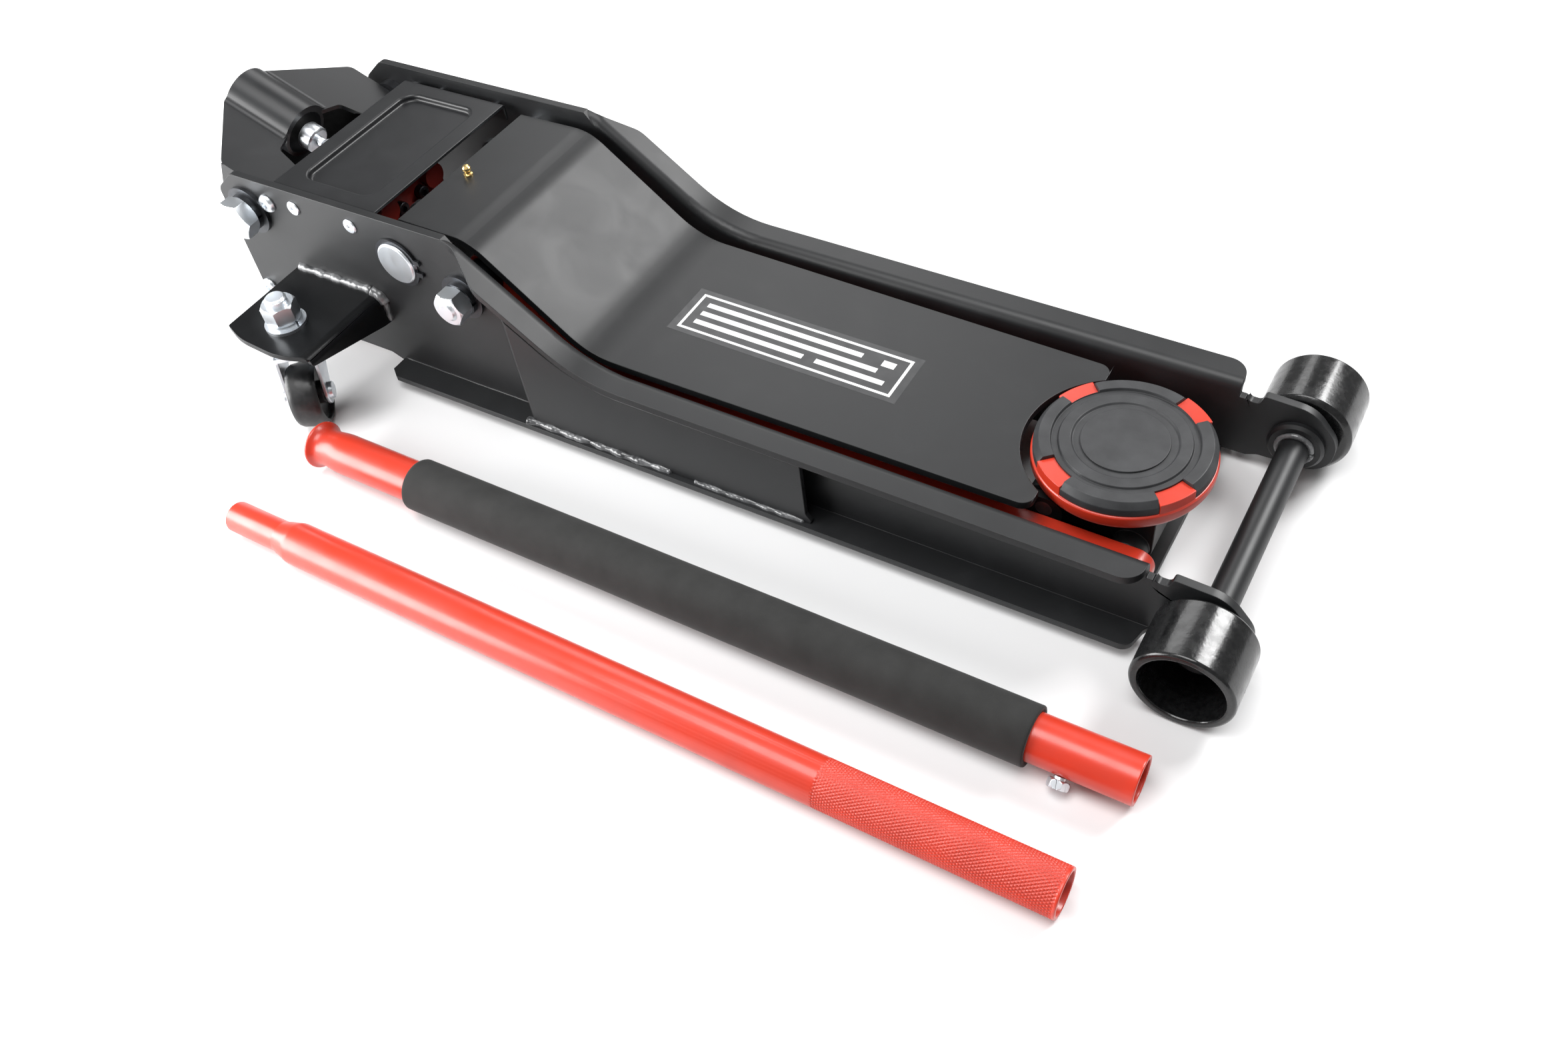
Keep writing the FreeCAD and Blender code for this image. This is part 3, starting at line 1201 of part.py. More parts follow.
def tube_profile(stations, wall):
    """Closed outline of a tube from its outside (radius, height) stations."""
    return stations + [(radius - wall, height) for radius, height in reversed(stations)]


def lower_handle_tube():
    """Lower half: flared and necked at the jack's end, with the lock bolt's hole in front."""
    r = mm("handle_radius")
    stations = [(17.6, 0), (18.0, 1.5), (18.0, 4.5), (16.6, 7), (13.6, 11), (13.3, 17), (14.4, 26), (r, 36),
                (r, LOWER_LENGTH)]
    return turned("lower_tube", tube_profile(stations, mm("handle_wall")))


LOWER = at(-25, mm("lower_handle_y"), mm("sleeve_radius"), TO_PLUS_X)
UPPER = at(-35, mm("upper_handle_y"), mm("handle_radius"), TO_PLUS_X)
LOCK_BOLT = V(572, mm("lower_handle_y"), mm("sleeve_radius"))
BOLT_TURN = FreeCAD.Rotation(V(0, 0, 1), V(0, -0.82, -0.57))
node(lower_handle_tube(), "lower_handle_tube", LOWER)
node(ring("sleeve", "dimensions.sleeve_radius", "dimensions.handle_radius", str(SLEEVE_LENGTH)), "foam_sleeve",
     at(73, mm("lower_handle_y"), mm("sleeve_radius"), TO_PLUS_X))


def handle_lock_bolt():
    """Small hexagon bolt that stands on the tube's skin."""
    foot = mm("handle_radius")
    neck = foot + 2.2
    shank = turned("lock_shank", [(0, foot), (4, foot), (4, neck), (0, neck)])
    head = put(hexagon("lock_head", 12, 5.5), at(0, 0, neck - 0.3))
    return plus("lock_bolt", shank, head)


node(handle_lock_bolt(), "handle_lock_bolt", at(LOCK_BOLT.x, LOCK_BOLT.y, LOCK_BOLT.z, BOLT_TURN))


def upper_handle_tube():
    """Upper half: reduced spigot behind, a short swage, then the full tube to the grip."""
    r = mm("handle_radius")
    spigot = mm("spigot_radius")
    stations = [(spigot - 1, 0), (spigot, 1), (spigot, 46), (spigot + 1.2, 50), (r - 1.2, 58), (r, 62),
                (r, UPPER_LENGTH)]
    return turned("upper_tube", tube_profile(stations, mm("handle_wall")))


node(upper_handle_tube(), "upper_handle_tube", UPPER)


# ---------------------------------------------------------------- checks and files

doc.recompute()
faulty = [item.Name for item in doc.Objects if "Invalid" in item.State or "Error" in item.State]
if faulty:
    raise RuntimeError("failed features: " + ", ".join(faulty))
for label, piece in NODES.items():
    if piece.Shape.isNull() or not piece.Shape.isValid():
        raise RuntimeError("bad shape: " + label)
os.makedirs("parts", exist_ok=True)
for label, piece in NODES.items():
    piece.Shape.exportStep("parts/%s.step" % label)
print(len(NODES), "nodes written")
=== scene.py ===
import json
import math
import random

import bmesh
import bpy
from mathutils import Matrix, Vector, noise


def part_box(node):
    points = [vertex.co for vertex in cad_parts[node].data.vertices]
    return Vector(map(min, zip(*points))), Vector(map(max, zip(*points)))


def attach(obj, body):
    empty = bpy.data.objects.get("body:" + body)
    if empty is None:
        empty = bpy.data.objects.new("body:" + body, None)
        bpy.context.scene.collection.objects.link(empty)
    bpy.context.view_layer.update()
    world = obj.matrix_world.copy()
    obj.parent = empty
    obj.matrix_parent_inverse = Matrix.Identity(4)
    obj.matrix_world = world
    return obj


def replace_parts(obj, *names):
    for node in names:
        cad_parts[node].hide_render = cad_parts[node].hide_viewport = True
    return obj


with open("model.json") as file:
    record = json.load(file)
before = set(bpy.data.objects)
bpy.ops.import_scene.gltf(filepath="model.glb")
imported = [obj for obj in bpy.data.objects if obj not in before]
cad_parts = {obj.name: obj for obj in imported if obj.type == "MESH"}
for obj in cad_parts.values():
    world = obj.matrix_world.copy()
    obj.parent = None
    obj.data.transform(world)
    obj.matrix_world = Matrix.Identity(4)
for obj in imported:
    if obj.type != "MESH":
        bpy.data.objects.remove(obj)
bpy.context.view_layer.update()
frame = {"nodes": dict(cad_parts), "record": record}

MM = 0.001
SIDES = (("left", 1), ("right", -1))
ALONG_X = (1, 0, 0)
UPWARD = (0, 0, 1)
BODY_OF = {node: body for body, nodes in frame["record"]["behaviour"]["bodies"].items() for node in nodes}
SLOT_OF = {part["node"]: part["material_slot"] for part in frame["record"]["subparts"]}


def middle(node):
    low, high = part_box(node)
    return (low + high) / 2


SHAFT = middle("lift_arm_shaft")


def jack(x, y, z):
    """Point given in millimetres from the lift-arm shaft, the centre plane and the floor."""
    return Vector((SHAFT.x + x * MM, SHAFT.y + y * MM, z * MM))


def facing(origin, axis):
    """Frame with its origin at a point and its Z axis along `axis`."""
    return Matrix.Translation(origin) @ Vector(axis).to_track_quat("Z", "Y").to_matrix().to_4x4()


def steps(low, high, count):
    return [low + (high - low) * k / count for k in range(count + 1)]


# ---------------------------------------------------------------- camera, floor and light

LENS = 31.123
YAW, PITCH, ROLL = 36.89, -47.99, -8.7
WORLD_LIGHT = 0.3
FLOOR_REACH = 12


def look(yaw, pitch, roll):
    """Camera rotation: yaw from +Y towards -X, pitch above the horizon, roll about the view."""
    forward = Vector((-math.sin(yaw) * math.cos(pitch), math.cos(yaw) * math.cos(pitch), math.sin(pitch)))
    level = Vector((math.cos(yaw), math.sin(yaw), 0))
    upright = level.cross(forward)
    right = level * math.cos(roll) + upright * math.sin(roll)
    up = upright * math.cos(roll) - level * math.sin(roll)
    return Matrix((right, up, -forward)).transposed()


camera_data = bpy.data.cameras.new("camera")
camera_data.sensor_width = 36
camera_data.lens = LENS
camera_data.clip_start = 0.01
camera = bpy.data.objects.new("camera", camera_data)
bpy.context.collection.objects.link(camera)
turn = look(math.radians(YAW), math.radians(PITCH), math.radians(ROLL))
camera.matrix_world = Matrix.Translation(jack(702.0, -608.4, 703.7)) @ turn.to_4x4()
bpy.context.scene.camera = camera
bpy.context.scene.view_settings.view_transform = "Standard"

world = bpy.data.worlds.new("studio")
bpy.context.scene.world = world
world.use_nodes = True
world.node_tree.nodes["Background"].inputs["Color"].default_value = (1, 1, 1, 1)
world.node_tree.nodes["Background"].inputs["Strength"].default_value = WORLD_LIGHT


def softbox(name, place, aim, size, power):
    """Rectangular light of `size` metres and `power` watts at `place`, turned towards `aim`."""
    light = bpy.data.lights.new(name, "AREA")
    light.shape = "RECTANGLE"
    light.size, light.size_y = size
    light.energy = power
    lamp = bpy.data.objects.new(name, light)
    bpy.context.collection.objects.link(lamp)
    lamp.location = place
    lamp.rotation_euler = (Vector(aim) - Vector(place)).to_track_quat("-Z", "Y").to_euler()


softbox("key_front_far", (1.1, 1.5, 1.75), (0, 0, 0.05), (1.0, 0.8), 58)
softbox("behind_far", (-0.9, 1.6, 1.5), (0, 0, 0.05), (1.2, 1.0), 14)
softbox("low_rear_near", (-1.05, -0.8, 0.42), (-0.2, -0.1, 0.08), (1.2, 0.7), 34)
softbox("overhead", (-0.1, -0.5, 2.3), (0, -0.1, 0), (1.6, 1.2), 46)

floor_mesh = bpy.data.meshes.new("floor")
floor_mesh.from_pydata([(-FLOOR_REACH, -FLOOR_REACH, 0), (FLOOR_REACH, -FLOOR_REACH, 0),
                        (FLOOR_REACH, FLOOR_REACH, 0), (-FLOOR_REACH, FLOOR_REACH, 0)], [], [(0, 1, 2, 3)])
floor = bpy.data.objects.new("floor", floor_mesh)
bpy.context.collection.objects.link(floor)


# ---------------------------------------------------------------- materials

# A colour Mix node has sockets of the same name for numbers and vectors too, so these go by place.
MIX_COLOUR_A, MIX_COLOUR_B, MIX_COLOUR_OUT = 6, 7, 2


class Finish:
    """Principled material with helpers for its procedural detail."""

    def __init__(self, name, colour, roughness, metallic=0.0, specular=0.5, **sockets):
        self.material = bpy.data.materials.new(name)
        self.material.use_nodes = True
        self.nodes = self.material.node_tree.nodes
        self.wire = self.material.node_tree.links.new
        self.shader = self.nodes["Principled BSDF"]
        self.shader.inputs["Base Color"].default_value = (*colour, 1)
        self.shader.inputs["Roughness"].default_value = roughness
        self.shader.inputs["Metallic"].default_value = metallic
        self.shader.inputs["Specular IOR Level"].default_value = specular
        for socket, value in sockets.items():
            self.shader.inputs[socket.replace("_", " ")].default_value = value
        self.place = self.nodes.new("ShaderNodeTexCoord").outputs["Object"]
        self.normal = None

    def noise(self, size, detail=3.0, distortion=0.0):
        """Noise whose features are about `size` millimetres across."""
        node = self.nodes.new("ShaderNodeTexNoise")
        node.inputs["Scale"].default_value = 1 / (size * MM)
        node.inputs["Detail"].default_value = detail
        node.inputs["Distortion"].default_value = distortion
        self.wire(self.place, node.inputs["Vector"])
        return node.outputs["Fac"]

    def cells(self, size):
        """Rounded grains about `size` millimetres across."""
        node = self.nodes.new("ShaderNodeTexVoronoi")
        node.inputs["Scale"].default_value = 1 / (size * MM)
        self.wire(self.place, node.inputs["Vector"])
        return node.outputs["Distance"]

    def span(self, value, low, high, start=0.3, end=0.7):
        """`value` from `start` to `end`, stretched to run from `low` to `high`."""
        node = self.nodes.new("ShaderNodeMapRange")
        node.inputs["From Min"].default_value = start
        node.inputs["From Max"].default_value = end
        node.inputs["To Min"].default_value = low
        node.inputs["To Max"].default_value = high
        self.wire(value, node.inputs["Value"])
        return node.outputs["Result"]

    def product(self, one, other):
        node = self.nodes.new("ShaderNodeMath")
        node.operation = "MULTIPLY"
        self.wire(one, node.inputs[0])
        self.wire(other, node.inputs[1])
        return node.outputs[0]

    def paint(self, factor, one, other):
        """Base colour that runs from `one` to `other` with the factor."""
        node = self.nodes.new("ShaderNodeMix")
        node.data_type = "RGBA"
        self.wire(factor, node.inputs["Factor"])
        node.inputs[MIX_COLOUR_A].default_value = (*one, 1)
        node.inputs[MIX_COLOUR_B].default_value = (*other, 1)
        self.wire(node.outputs[MIX_COLOUR_OUT], self.shader.inputs["Base Color"])

    def rough(self, value):
        self.wire(value, self.shader.inputs["Roughness"])

    def bump(self, height, depth, strength=1.0):
        """Adds relief of about `depth` millimetres."""
        node = self.nodes.new("ShaderNodeBump")
        node.inputs["Strength"].default_value = strength
        node.inputs["Distance"].default_value = depth * MM
        self.wire(height, node.inputs["Height"])
        if self.normal:
            self.wire(self.normal, node.inputs["Normal"])
        self.normal = node.outputs["Normal"]
        self.wire(self.normal, self.shader.inputs["Normal"])


def powder_coat(name, colour, roughness, specular=0.42):
    """Satin powder coat: fine orange peel, handling smudges and a little dust."""
    f = Finish(name, colour, roughness, specular=specular)
    smear = f.noise(38, 5.0, distortion=0.8)
    speck = f.noise(0.9, 2.0)
    dust = tuple(c * 1.5 + 0.003 for c in colour)
    f.paint(f.product(f.span(smear, 0, 0.8, 0.45, 0.75), f.span(speck, 0.2, 1.0, 0.35, 0.75)), colour, dust)
    f.rough(f.span(smear, roughness - 0.025, roughness + 0.025))
    f.bump(f.noise(1.1, 2.0), 0.03, 0.5)
    f.bump(f.noise(24, 2.0), 0.06, 0.2)
    return f


def enamel(name, colour, roughness, peel):
    """Baked enamel with an orange peel about `peel` millimetres across."""
    f = Finish(name, colour, roughness, specular=0.5, Coat_Weight=0.2, Coat_Roughness=0.2)
    drift = f.noise(25, 4.0)
    deep = tuple(c * 0.8 for c in colour)
    f.paint(f.span(drift, 0, 0.6), colour, deep)
    f.rough(f.span(drift, roughness - 0.05, roughness + 0.07))
    f.bump(f.noise(peel, 2.0), 0.05, 0.6)
    return f


def plated(name, colour, roughness, mottle, contrast=0.5):
    """Bright zinc or bare metal with a faint crystalline mottle, `mottle` millimetres across."""
    f = Finish(name, colour, roughness, metallic=1.0)
    cloud = f.noise(mottle, 2.0)
    cool = (colour[0] * 0.8, colour[1] * 0.86, colour[2] * 0.92)
    f.paint(f.span(cloud, 0, contrast, 0.35, 0.7), colour, cool)
    f.rough(f.span(cloud, roughness - 0.02, roughness + 0.03))
    return f


casting = Finish("gloss_black_casting", (0.006, 0.006, 0.0065), 0.2, specular=0.4,
                 Coat_Weight=0.25, Coat_Roughness=0.1)
casting.rough(casting.span(casting.noise(7, 4.0), 0.14, 0.34))
casting.paint(casting.span(casting.noise(3, 4.0), 0, 1), (0.003, 0.003, 0.0033), (0.009, 0.0093, 0.0096))
casting.bump(casting.noise(2.6, 3.0), 0.16, 0.5)
casting.bump(casting.cells(1.6), 0.05, 0.35)

rubber = Finish("moulded_rubber", (0.04, 0.041, 0.043), 0.55, specular=0.4)
rubber.rough(rubber.span(rubber.noise(9, 4.0), 0.42, 0.62))
rubber.paint(rubber.span(rubber.noise(16, 5.0), 0, 1), (0.020, 0.0205, 0.022), (0.034, 0.035, 0.037))
rubber.bump(rubber.noise(0.8, 3.0), 0.03, 0.6)

tread = Finish("caster_compound", (0.028, 0.028, 0.029), 0.42, specular=0.5)
tread.paint(tread.span(tread.noise(9, 4.0, distortion=0.6), 0, 1, 0.42, 0.72),
            (0.008, 0.008, 0.0085), (0.022, 0.0225, 0.0235))
tread.rough(tread.span(tread.noise(6, 4.0), 0.32, 0.44))
tread.bump(tread.noise(1.6, 3.0), 0.04, 0.4)

foam = Finish("foam_rubber", (0.036, 0.036, 0.035), 0.8, specular=0.32, Sheen_Weight=0.06, Sheen_Roughness=0.5)
foam.paint(foam.span(foam.noise(20, 5.0), 0, 1), (0.011, 0.011, 0.0105), (0.018, 0.018, 0.0175))
foam.bump(foam.cells(0.45), 0.06, 0.6)
foam.bump(foam.noise(22, 2.0), 0.5, 0.25)

finishes = {
    "black_plate": powder_coat("black_powder_coat", (0.0085, 0.009, 0.0098), 0.43),
    "black_cover": powder_coat("black_cover_coat", (0.010, 0.0105, 0.0115), 0.36),
    "red_enamel": enamel("red_enamel", (0.54, 0.033, 0.013), 0.34, 1.6),
    "unit_red": enamel("unit_red", (0.30, 0.024, 0.016), 0.45, 2.2),
    "zinc": plated("bright_zinc", (0.80, 0.83, 0.86), 0.34, 9.0, 0.3),
    "steel": plated("ground_steel", (0.6, 0.61, 0.63), 0.38, 6.0, 0.3),
    "brass": plated("brass", (0.86, 0.62, 0.26), 0.26, 2.0),
    "black_oxide": plated("black_oxide", (0.075, 0.077, 0.082), 0.4, 3.0),
    "gloss_casting": casting,
    "pad_rubber": rubber,
    "caster_tread": tread,
    "foam": foam,
}

# Finishes that stand in for a slot's own on single pieces or faces.
# Darker, less glossy copy of the black powder coat for the caster brackets: painted shade that makes them read darker
# than the other plates in the same paint.
bracket_shaded_coat = powder_coat("caster_bracket_shaded_coat", (0.0045, 0.0048, 0.0054), 0.3, specular=0.2)

# Weld beads: glossy black with lighter grey patches. These are partly grey smudges on the welds and partly a painted
# highlight where the beads face away from the lamps.
weld_skin_and_highlight = Finish("weld_paint_and_painted_highlight", (0.05, 0.052, 0.056), 0.3, specular=0.6, Coat_Weight=0.4, Coat_Roughness=0.15)
weld_skin_and_highlight.paint(weld_skin_and_highlight.span(weld_skin_and_highlight.noise(9, 3.0), 0, 1), (0.02, 0.021, 0.023), (0.15, 0.153, 0.157))
weld_skin_and_highlight.bump(weld_skin_and_highlight.noise(2.5, 2.0), 0.15, 0.5)

# Near-black matt finish for the inner faces of the yoke cover: painted shade for the dark space under the cover.
yoke_inner_painted_shade = Finish("yoke_inner_painted_shade", (0.003, 0.003, 0.0032), 0.85, specular=0.1)
yoke_inner_painted_shade.rough(yoke_inner_painted_shade.span(yoke_inner_painted_shade.noise(6, 3.0), 0.78, 0.92))

print_white = Finish("printed_film", (0.5, 0.5, 0.5), 0.5, specular=0.3)
print_white.paint(print_white.span(print_white.noise(3, 4.0), 0, 1, 0.3, 0.8),
                  (0.72, 0.72, 0.72), (0.55, 0.56, 0.56))
clear_film = Finish("label_film", (0.014, 0.0145, 0.016), 0.3, specular=0.46)
clear_film.rough(clear_film.span(clear_film.noise(8, 3.0), 0.28, 0.36))

white_floor = Finish("studio_floor", (0.77, 0.77, 0.77), 0.6, specular=0.2)
white_floor.paint(white_floor.noise(180, 3.0), (0.76, 0.76, 0.763), (0.78, 0.78, 0.783))
floor_mesh.materials.append(white_floor.material)


def coat(obj, finish):
    obj.data.materials.clear()
    obj.data.materials.append(finish.material)


for node, obj in frame["nodes"].items():
    coat(obj, finishes[SLOT_OF[node]])


# ---------------------------------------------------------------- making pieces

def add_piece(name, mesh, body, slot, finish=None):
    """Piece that rides on a body, in its slot's finish unless another is given."""
    piece = bpy.data.objects.new(name, mesh)
    bpy.context.collection.objects.link(piece)
    coat(piece, finish or finishes[slot])
    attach(piece, body)
    return piece


def smooth_mesh(name, points, faces):
    mesh = bpy.data.meshes.new(name)
    mesh.from_pydata(points, [], faces)
    mesh.validate()
    for face in mesh.polygons:
        face.use_smooth = True
    return mesh


def turned(name, body, slot, where, outline, segments, shift=None):
    """Closed shape turned about `where`'s Z axis from a closed (radius, height) outline in millimetres.
    shift(angle, radius, height) gives a point's own radius."""
    points = []
    for radius, height in outline:
        for step in range(segments):
            angle = 2 * math.pi * step / segments
            r = shift(angle, radius, height) if shift else radius
            points.append(where @ Vector((r * math.cos(angle) * MM, r * math.sin(angle) * MM, height * MM)))
    faces = []
    for row in range(len(outline)):
        here = row * segments
        after = (row + 1) % len(outline) * segments
        for step in range(segments):
            beside = (step + 1) % segments
            faces.append((here + step, here + beside, after + beside, after + step))
    return add_piece(name, smooth_mesh(name, points, faces), body, slot)


# ---------------------------------------------------------------- rounded edges of the CAD pieces

MERGE = 0.002
FLAT = 0.2
EDGE = 32
SHADING_WEIGHT = 90


def softened(node, width, segments=2, clamp=False, finish=None):
    """The CAD node's shape with its hard edges rounded over, as on real sheet, bar or castings."""
    mesh = frame["nodes"][node].data.copy()
    mesh.name = node + "_finished"
    shaped = bmesh.new()
    shaped.from_mesh(mesh)
    bmesh.ops.remove_doubles(shaped, verts=shaped.verts, dist=MERGE * MM)
    bmesh.ops.dissolve_limit(shaped, angle_limit=math.radians(FLAT), verts=shaped.verts, edges=shaped.edges)
    shaped.to_mesh(mesh)
    shaped.free()
    for face in mesh.polygons:
        face.use_smooth = True
    piece = add_piece(node + "_finished", mesh, BODY_OF[node], SLOT_OF[node], finish)
    edge = piece.modifiers.new("edges", "BEVEL")
    edge.width = width * MM
    edge.segments = segments
    edge.limit_method = "ANGLE"
    edge.angle_limit = math.radians(EDGE)
    edge.use_clamp_overlap = clamp
    edge.miter_outer = "MITER_ARC"
    shade = piece.modifiers.new("shading", "WEIGHTED_NORMAL")
    shade.mode = "FACE_AREA"
    shade.weight = SHADING_WEIGHT
    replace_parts(piece, node)
    return piece


for node in ("left_side_plate", "right_side_plate"):
    softened(node, 0.4)
for node in ("left_channel_stiffener", "right_channel_stiffener", "lift_arm_top_plate", "front_cross_plate"):
    softened(node, 0.55)
for node in ("left_caster_bracket", "right_caster_bracket"):
    softened(node, 0.55, finish=bracket_shaded_coat)
softened("tool_tray_cover", 0.5)
yoke_shell = softened("yoke_cover", 0.5, clamp=True)
for node in ("left_radius_link", "right_radius_link", "left_front_wheel", "right_front_wheel", "saddle_bracket"):
    softened(node, 0.8)
for node in ("saddle_cup", "saddle_pad", "left_caster_wheel", "right_caster_wheel"):
    softened(node, 0.5)
for node in ("left_caster_fork", "right_caster_fork", "lift_arm_shaft"):
    softened(node, 0.3)
for node in ("release_coupling", "caster_stem_bolts", "yoke_pivot_bolts", "link_pivot_bolts", "frame_screws",
             "spacer_screws", "tray_screws", "handle_lock_bolt"):
    softened(node, 0.15, segments=1)

# Inner faces of the yoke cover, seen through its cut-out, take a near-black matt finish as painted shade: they lie
# under the pivot and face the cover's top.
YOKE_PIVOT = middle("yoke_pivot_bolts")
YOKE_UPRIGHT = Vector((0.361625, 0, 0.932324))
yoke_shell.data.materials.append(yoke_inner_painted_shade.material)
for face in yoke_shell.data.polygons:
    above_pivot = (face.center - YOKE_PIVOT).dot(YOKE_UPRIGHT)
    if above_pivot < 0 and face.normal.dot(YOKE_UPRIGHT) > 0.5:
        face.material_index = 1


# ---------------------------------------------------------------- weld beads

RIPPLE_STEPS = 6
PLAIN_STEP = 3.0
BEAD_SIDES = 10
WEB = 89.0
LIP = 105.0
AXLE_X, AXLE_Z = 615.2, 32.3
AXLE_EAR = 77.6
COLLAR_RADIUS = 11.4
COLLAR_STEPS = 40


def along(path, pitch):
    """Evenly spaced points on a polyline given in metres."""
    spots = [path[0].copy()]
    left = pitch
    for start, end in zip(path, path[1:]):
        span = (end - start).length
        done = left
        while done <= span:
            spots.append(start.lerp(end, done / span))
            done += pitch
        left = done - span
    return spots


def bead(name, path, radius, ripple, seed, uneven, finish=None):
    """Weld bead laid along a polyline, rippled every `ripple` millimetres."""
    draw = random.Random(seed)
    drift = [draw.uniform(0, 50) for _ in range(3)]
    step = ripple / RIPPLE_STEPS if ripple else PLAIN_STEP
    spots = along(path, step * MM)
    points = []
    last = len(spots) - 1
    for index, spot in enumerate(spots):
        ahead = spots[min(index + 1, last)] - spots[max(index - 1, 0)]
        ahead.normalize()
        side = ahead.cross(Vector((0.3, 0.2, 1))).normalized()
        up = side.cross(ahead)
        run = index * step
        size = radius
        if ripple:
            size *= 0.95 + 0.06 * abs(math.sin(math.pi * run / ripple))
        size *= 1 + uneven * noise.noise(Vector((run * 0.11 + drift[0], drift[1], 0)))
        size *= min(1, 0.35 + 0.35 * min(index, last - index))
        wander = side * noise.noise(Vector((run * 0.09, drift[2], 0))) * uneven * radius * MM
        for corner in range(BEAD_SIDES):
            angle = 2 * math.pi * corner / BEAD_SIDES
            points.append(spot + wander + (side * math.cos(angle) + up * math.sin(angle)) * size * MM)
    faces = []
    for index in range(last):
        here = index * BEAD_SIDES
        after = here + BEAD_SIDES
        for corner in range(BEAD_SIDES):
            beside = (corner + 1) % BEAD_SIDES
            faces.append((here + corner, here + beside, after + beside, after + corner))
    faces.append(tuple(reversed(range(BEAD_SIDES))))
    faces.append(tuple(last * BEAD_SIDES + corner for corner in range(BEAD_SIDES)))
    add_piece(name, smooth_mesh(name, points, faces), "frame", "black_plate", finish)


# Label, path of (x, out from the centre plane, z), radius, ripple, seed, unevenness and finish.
COLLAR = [(AXLE_X + COLLAR_RADIUS * math.cos(2 * math.pi * k / COLLAR_STEPS), AXLE_EAR,
           AXLE_Z + COLLAR_RADIUS * math.sin(2 * math.pi * k / COLLAR_STEPS)) for k in range(COLLAR_STEPS + 1)]
WELDS = (
    ("bracket_weld", [(-123, WEB, 79.8), (-80, WEB, 79.8), (-42, WEB, 79.8)], 3.9, 6.0, 11, 0.25, weld_skin_and_highlight),
    ("bracket_weld_lump", [(-45, WEB, 80), (-36, WEB + 1, 78), (-33, WEB, 70)], 4.8, 6.0, 21, 0.2, weld_skin_and_highlight),
    ("bracket_flange_weld", [(-34.5, WEB, 74), (-35, WEB, 64), (-36, WEB, 53)], 3.0, 6.0, 31, 0.2, weld_skin_and_highlight),
    ("stiffener_weld", [(100, LIP, 14.2), (160, LIP, 14.2), (232, LIP, 14.2)], 3.3, 4.6, 41, 0.45, weld_skin_and_highlight),
    ("stiffener_weld_front", [(251, LIP, 14), (300, LIP, 14), (342, LIP, 14)], 2.1, 4.0, 51, 0.6, weld_skin_and_highlight),
    ("flange_fillet", [(-36, WEB, 14), (30, WEB, 14), (94, WEB, 14)], 1.1, 0, 61, 0.25, None),
    ("axle_weld", COLLAR, 2.0, 3.2, 71, 0.25, weld_skin_and_highlight),
)
for hand, side in SIDES:
    for label, path, radius, ripple, seed, uneven, finish in WELDS:
        bead(hand + "_" + label, [jack(x, side * y, z) for x, y, z in path], radius, ripple, seed + side, uneven,
             finish)


# ---------------------------------------------------------------- fastener threads and washers

STEM_X, STEM_Y, STEM_WASHER_Z = -82, 146, 82
STEM_REACH = 22
LINK_X, LINK_Z = 58, 108
THREAD_RADIUS = 8
THREAD_SEGMENTS = 40


def thread(name, where, low, high, pitch):
    """Ridged outside of a threaded end; the ridges are closed rings a pitch apart."""
    root, crest, core = THREAD_RADIUS + 0.05, THREAD_RADIUS + 0.42, THREAD_RADIUS - 1.5
    outline = []
    height = low
    while height + pitch <= high:
        outline += [(root, height), (crest, height + pitch * 0.5)]
        height += pitch
    outline += [(root, height), (core, height), (core, low)]
    turned(name, "frame", "zinc", where, outline, THREAD_SEGMENTS)


for hand, side in SIDES:
    thread(hand + "_stem_thread", facing(jack(STEM_X, side * STEM_Y, 0), UPWARD), 98.6, 103, 1.1)
    thread(hand + "_link_thread", facing(jack(LINK_X, 0, LINK_Z), (0, side, 0)), 108.2, 109, 0.7)

# One CAD node holds all the washers: those on the caster stems are zinc, those on the pivots black.
washers = bmesh.new()
washers.from_mesh(frame["nodes"]["pivot_washers"].data)
stems = [jack(STEM_X, side * STEM_Y, STEM_WASHER_Z) for hand, side in SIDES]
for label, slot, on_stem in (("stem_washers", "zinc", True), ("pivot_washers_black", "black_oxide", False)):
    part = washers.copy()
    wrong = [v for v in part.verts if (min((v.co - c).length for c in stems) < STEM_REACH * MM) != on_stem]
    bmesh.ops.delete(part, geom=wrong, context="VERTS")
    mesh = bpy.data.meshes.new(label)
    part.to_mesh(mesh)
    part.free()
    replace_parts(add_piece(label, mesh, "frame", slot), "pivot_washers")
washers.free()


# ---------------------------------------------------------------- handle halves

TUBE = 15.5
SLEEVE_SKIN = 19.6
UPPER = facing(jack(-35, -278, TUBE), ALONG_X)
LOWER = facing(jack(-25, -197, SLEEVE_SKIN), ALONG_X)
SLEEVE = facing(jack(73, -197, SLEEVE_SKIN), ALONG_X)
KNURL_START, KNURL_END = 487.0, 636.5
KNURL_DEPTH = 0.9
KNURL_TURNS = 44
KNURL_PITCH = 3.5
GROOVE_SHARE = 0.55


def knurled(angle, radius, height):
    """Diamond knurl cut into the grip, fading in over its first millimetres."""
    if not (KNURL_START <= height <= KNURL_END and radius > TUBE - 0.2):
        return radius
    turns = KNURL_TURNS * angle / (2 * math.pi)
    travel = height / KNURL_PITCH
    cut = 0
    for phase in (turns + travel, turns - travel):
        ridge = abs((phase % 1) - 0.5) * 2
        cut = max(cut, 1 - ridge / GROOVE_SHARE)
    fade = min(1, (height - KNURL_START) / 2, KNURL_END - height)
    worn = 0.85 + 0.3 * noise.noise(Vector((height * 0.05, math.cos(angle), math.sin(angle))))
    return radius - KNURL_DEPTH * cut * fade * worn


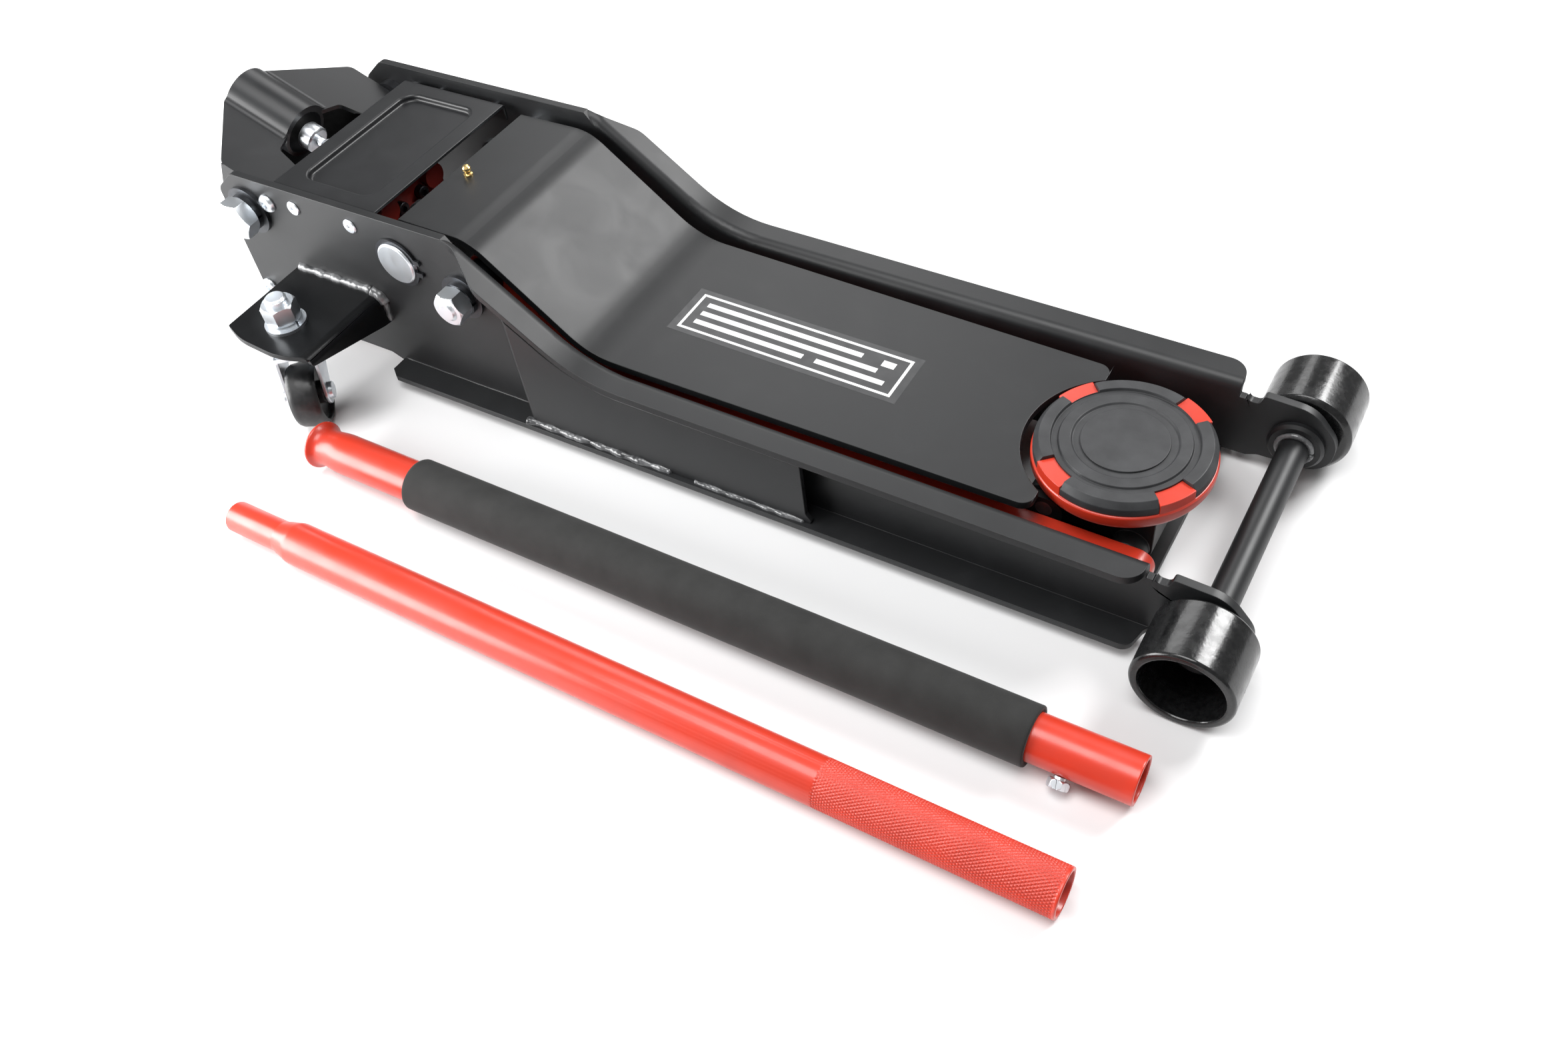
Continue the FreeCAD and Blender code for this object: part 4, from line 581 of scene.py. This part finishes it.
outside = [(10.5, 0), (11.2, 0.25), (11.5, 1), (11.5, 46), (11.75, 47), (12.7, 50), (14.3, 57), (14.9, 59),
           (15.35, 61), (TUBE, 62.5), (TUBE, 300), (TUBE, KNURL_START)]
outside += [(TUBE, height) for height in steps(KNURL_START + 0.1, KNURL_END, 400)]
outside += [(TUBE, 637.4), (15.25, 638), (13.25, 638)]
inside = [(13, 637.5), (13, 61), (9.4, 50), (9, 46), (9, 0.4), (9.3, 0)]
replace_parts(turned("upper_handle_tube_finished", "upper_handle", "red_enamel", UPPER, outside + inside, 240, knurled),
            "upper_handle_tube")

# Thin lip and short neck at the jack's end of the lower half.
outside = [(17.3, 0), (17.8, 0.25), (18.0, 0.9), (17.9, 1.8), (17.2, 2.6), (15.9, 3.8), (14.8, 5.6), (14.2, 8.2),
           (14.05, 11), (14.3, 14.5), (14.85, 18.5), (15.25, 22), (15.45, 25.5), (TUBE, 29), (TUBE, 300),
           (TUBE, 637), (TUBE, 638.8), (TUBE, 639.4), (15.25, 640), (13.25, 640)]
inside = [(13, 639.4), (13, 638.8), (13, 30), (11.8, 15), (11.6, 11), (12.4, 6), (14.2, 3), (15.6, 0.6), (15.9, 0)]
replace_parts(turned("lower_handle_tube_finished", "lower_handle", "red_enamel", LOWER, outside + inside, 96),
            "lower_handle_tube")


def spongy(angle, radius, height):
    """Slightly uneven skin of the foam sleeve; its bore stays round."""
    if radius < 17:
        return radius
    swell = noise.noise(Vector((height * 0.012, 1.6 * math.cos(angle), 1.6 * math.sin(angle))))
    fine = noise.noise(Vector((height * 0.11, 4 * math.cos(angle), 4 * math.sin(angle) + 9)))
    return radius - 0.22 + 0.2 * swell + 0.05 * fine


skin = [(15.6, 0.2), (18.6, 0), (19.3, 0.25), (SLEEVE_SKIN, 1.0)]
skin += [(SLEEVE_SKIN, height) for height in steps(2.5, 474.5, 180)]
skin += [(SLEEVE_SKIN, 476), (19.3, 476.75), (18.6, 477), (15.6, 476.8)]
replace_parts(turned("foam_sleeve_finished", "lower_handle", "foam", SLEEVE, skin, 96, spongy), "foam_sleeve")


# ---------------------------------------------------------------- pad centre and label

# The rings near the middle keep the disc's shading even where its faces meet.
disc = [(0.05, 73.0), (28.5, 73.0), (28.5, 73.9), (28.35, 74.2), (28.1, 74.3), (27.8, 74.3), (14, 74.3), (0.6, 74.3),
        (0.25, 74.3), (0.05, 74.3)]
turned("saddle_pad_centre", "saddle", "pad_rubber", facing(jack(524.6, 0, 0), UPWARD), disc, 96)

ARM_START, ARM_TOP, ARM_FALL = 152, 73.5, 0.02515
FILM_COLUMNS = 12
BAR_LIFT = 0.09


def arm_height(x):
    """Height of the arm's flat top, which falls slightly towards the saddle."""
    return ARM_TOP - (x - ARM_START) * ARM_FALL


def film(name, low, high, lift, finish):
    """Thin printed rectangle lying on the arm's sloping top plate."""
    points = []
    for x in steps(low[0], high[0], FILM_COLUMNS):
        for y in (low[1], high[1]):
            for rise in (0.0, lift):
                points.append(jack(x, y, arm_height(x) + rise))
    faces = []
    for k in range(FILM_COLUMNS):
        a, b = 4 * k, 4 * (k + 1)
        faces += [(a + 1, b + 1, b + 3, a + 3), (a, a + 2, b + 2, b),
                  (a, b, b + 1, a + 1), (a + 2, a + 3, b + 3, b + 2)]
    end = 4 * FILM_COLUMNS
    faces += [(0, 1, 3, 2), (end, end + 2, end + 3, end + 1)]
    mesh = bpy.data.meshes.new(name)
    mesh.from_pydata(points, [], faces)
    add_piece(name, mesh, "lift_arm", "black_plate", finish)


film("label_film", (186, -26), (372, 22), 0.05, clear_film)
LABEL_BARS = (
    ((192, -21.5), (366, -19.3)), ((192, 15.3), (366, 17.5)),
    ((192, -19.3), (194.2, 15.3)), ((363.8, -19.3), (366, 15.3)),
    ((201, 5.5), (330, 10)), ((201, -4), (346, 0.5)), ((201, -13.5), (292, -9)),
    ((346, 4), (356, 10)), ((302, -13.5), (356, -9)),
)
for count, (low, high) in enumerate(LABEL_BARS):
    film("label_bar_%d" % count, low, high, BAR_LIFT, print_white)
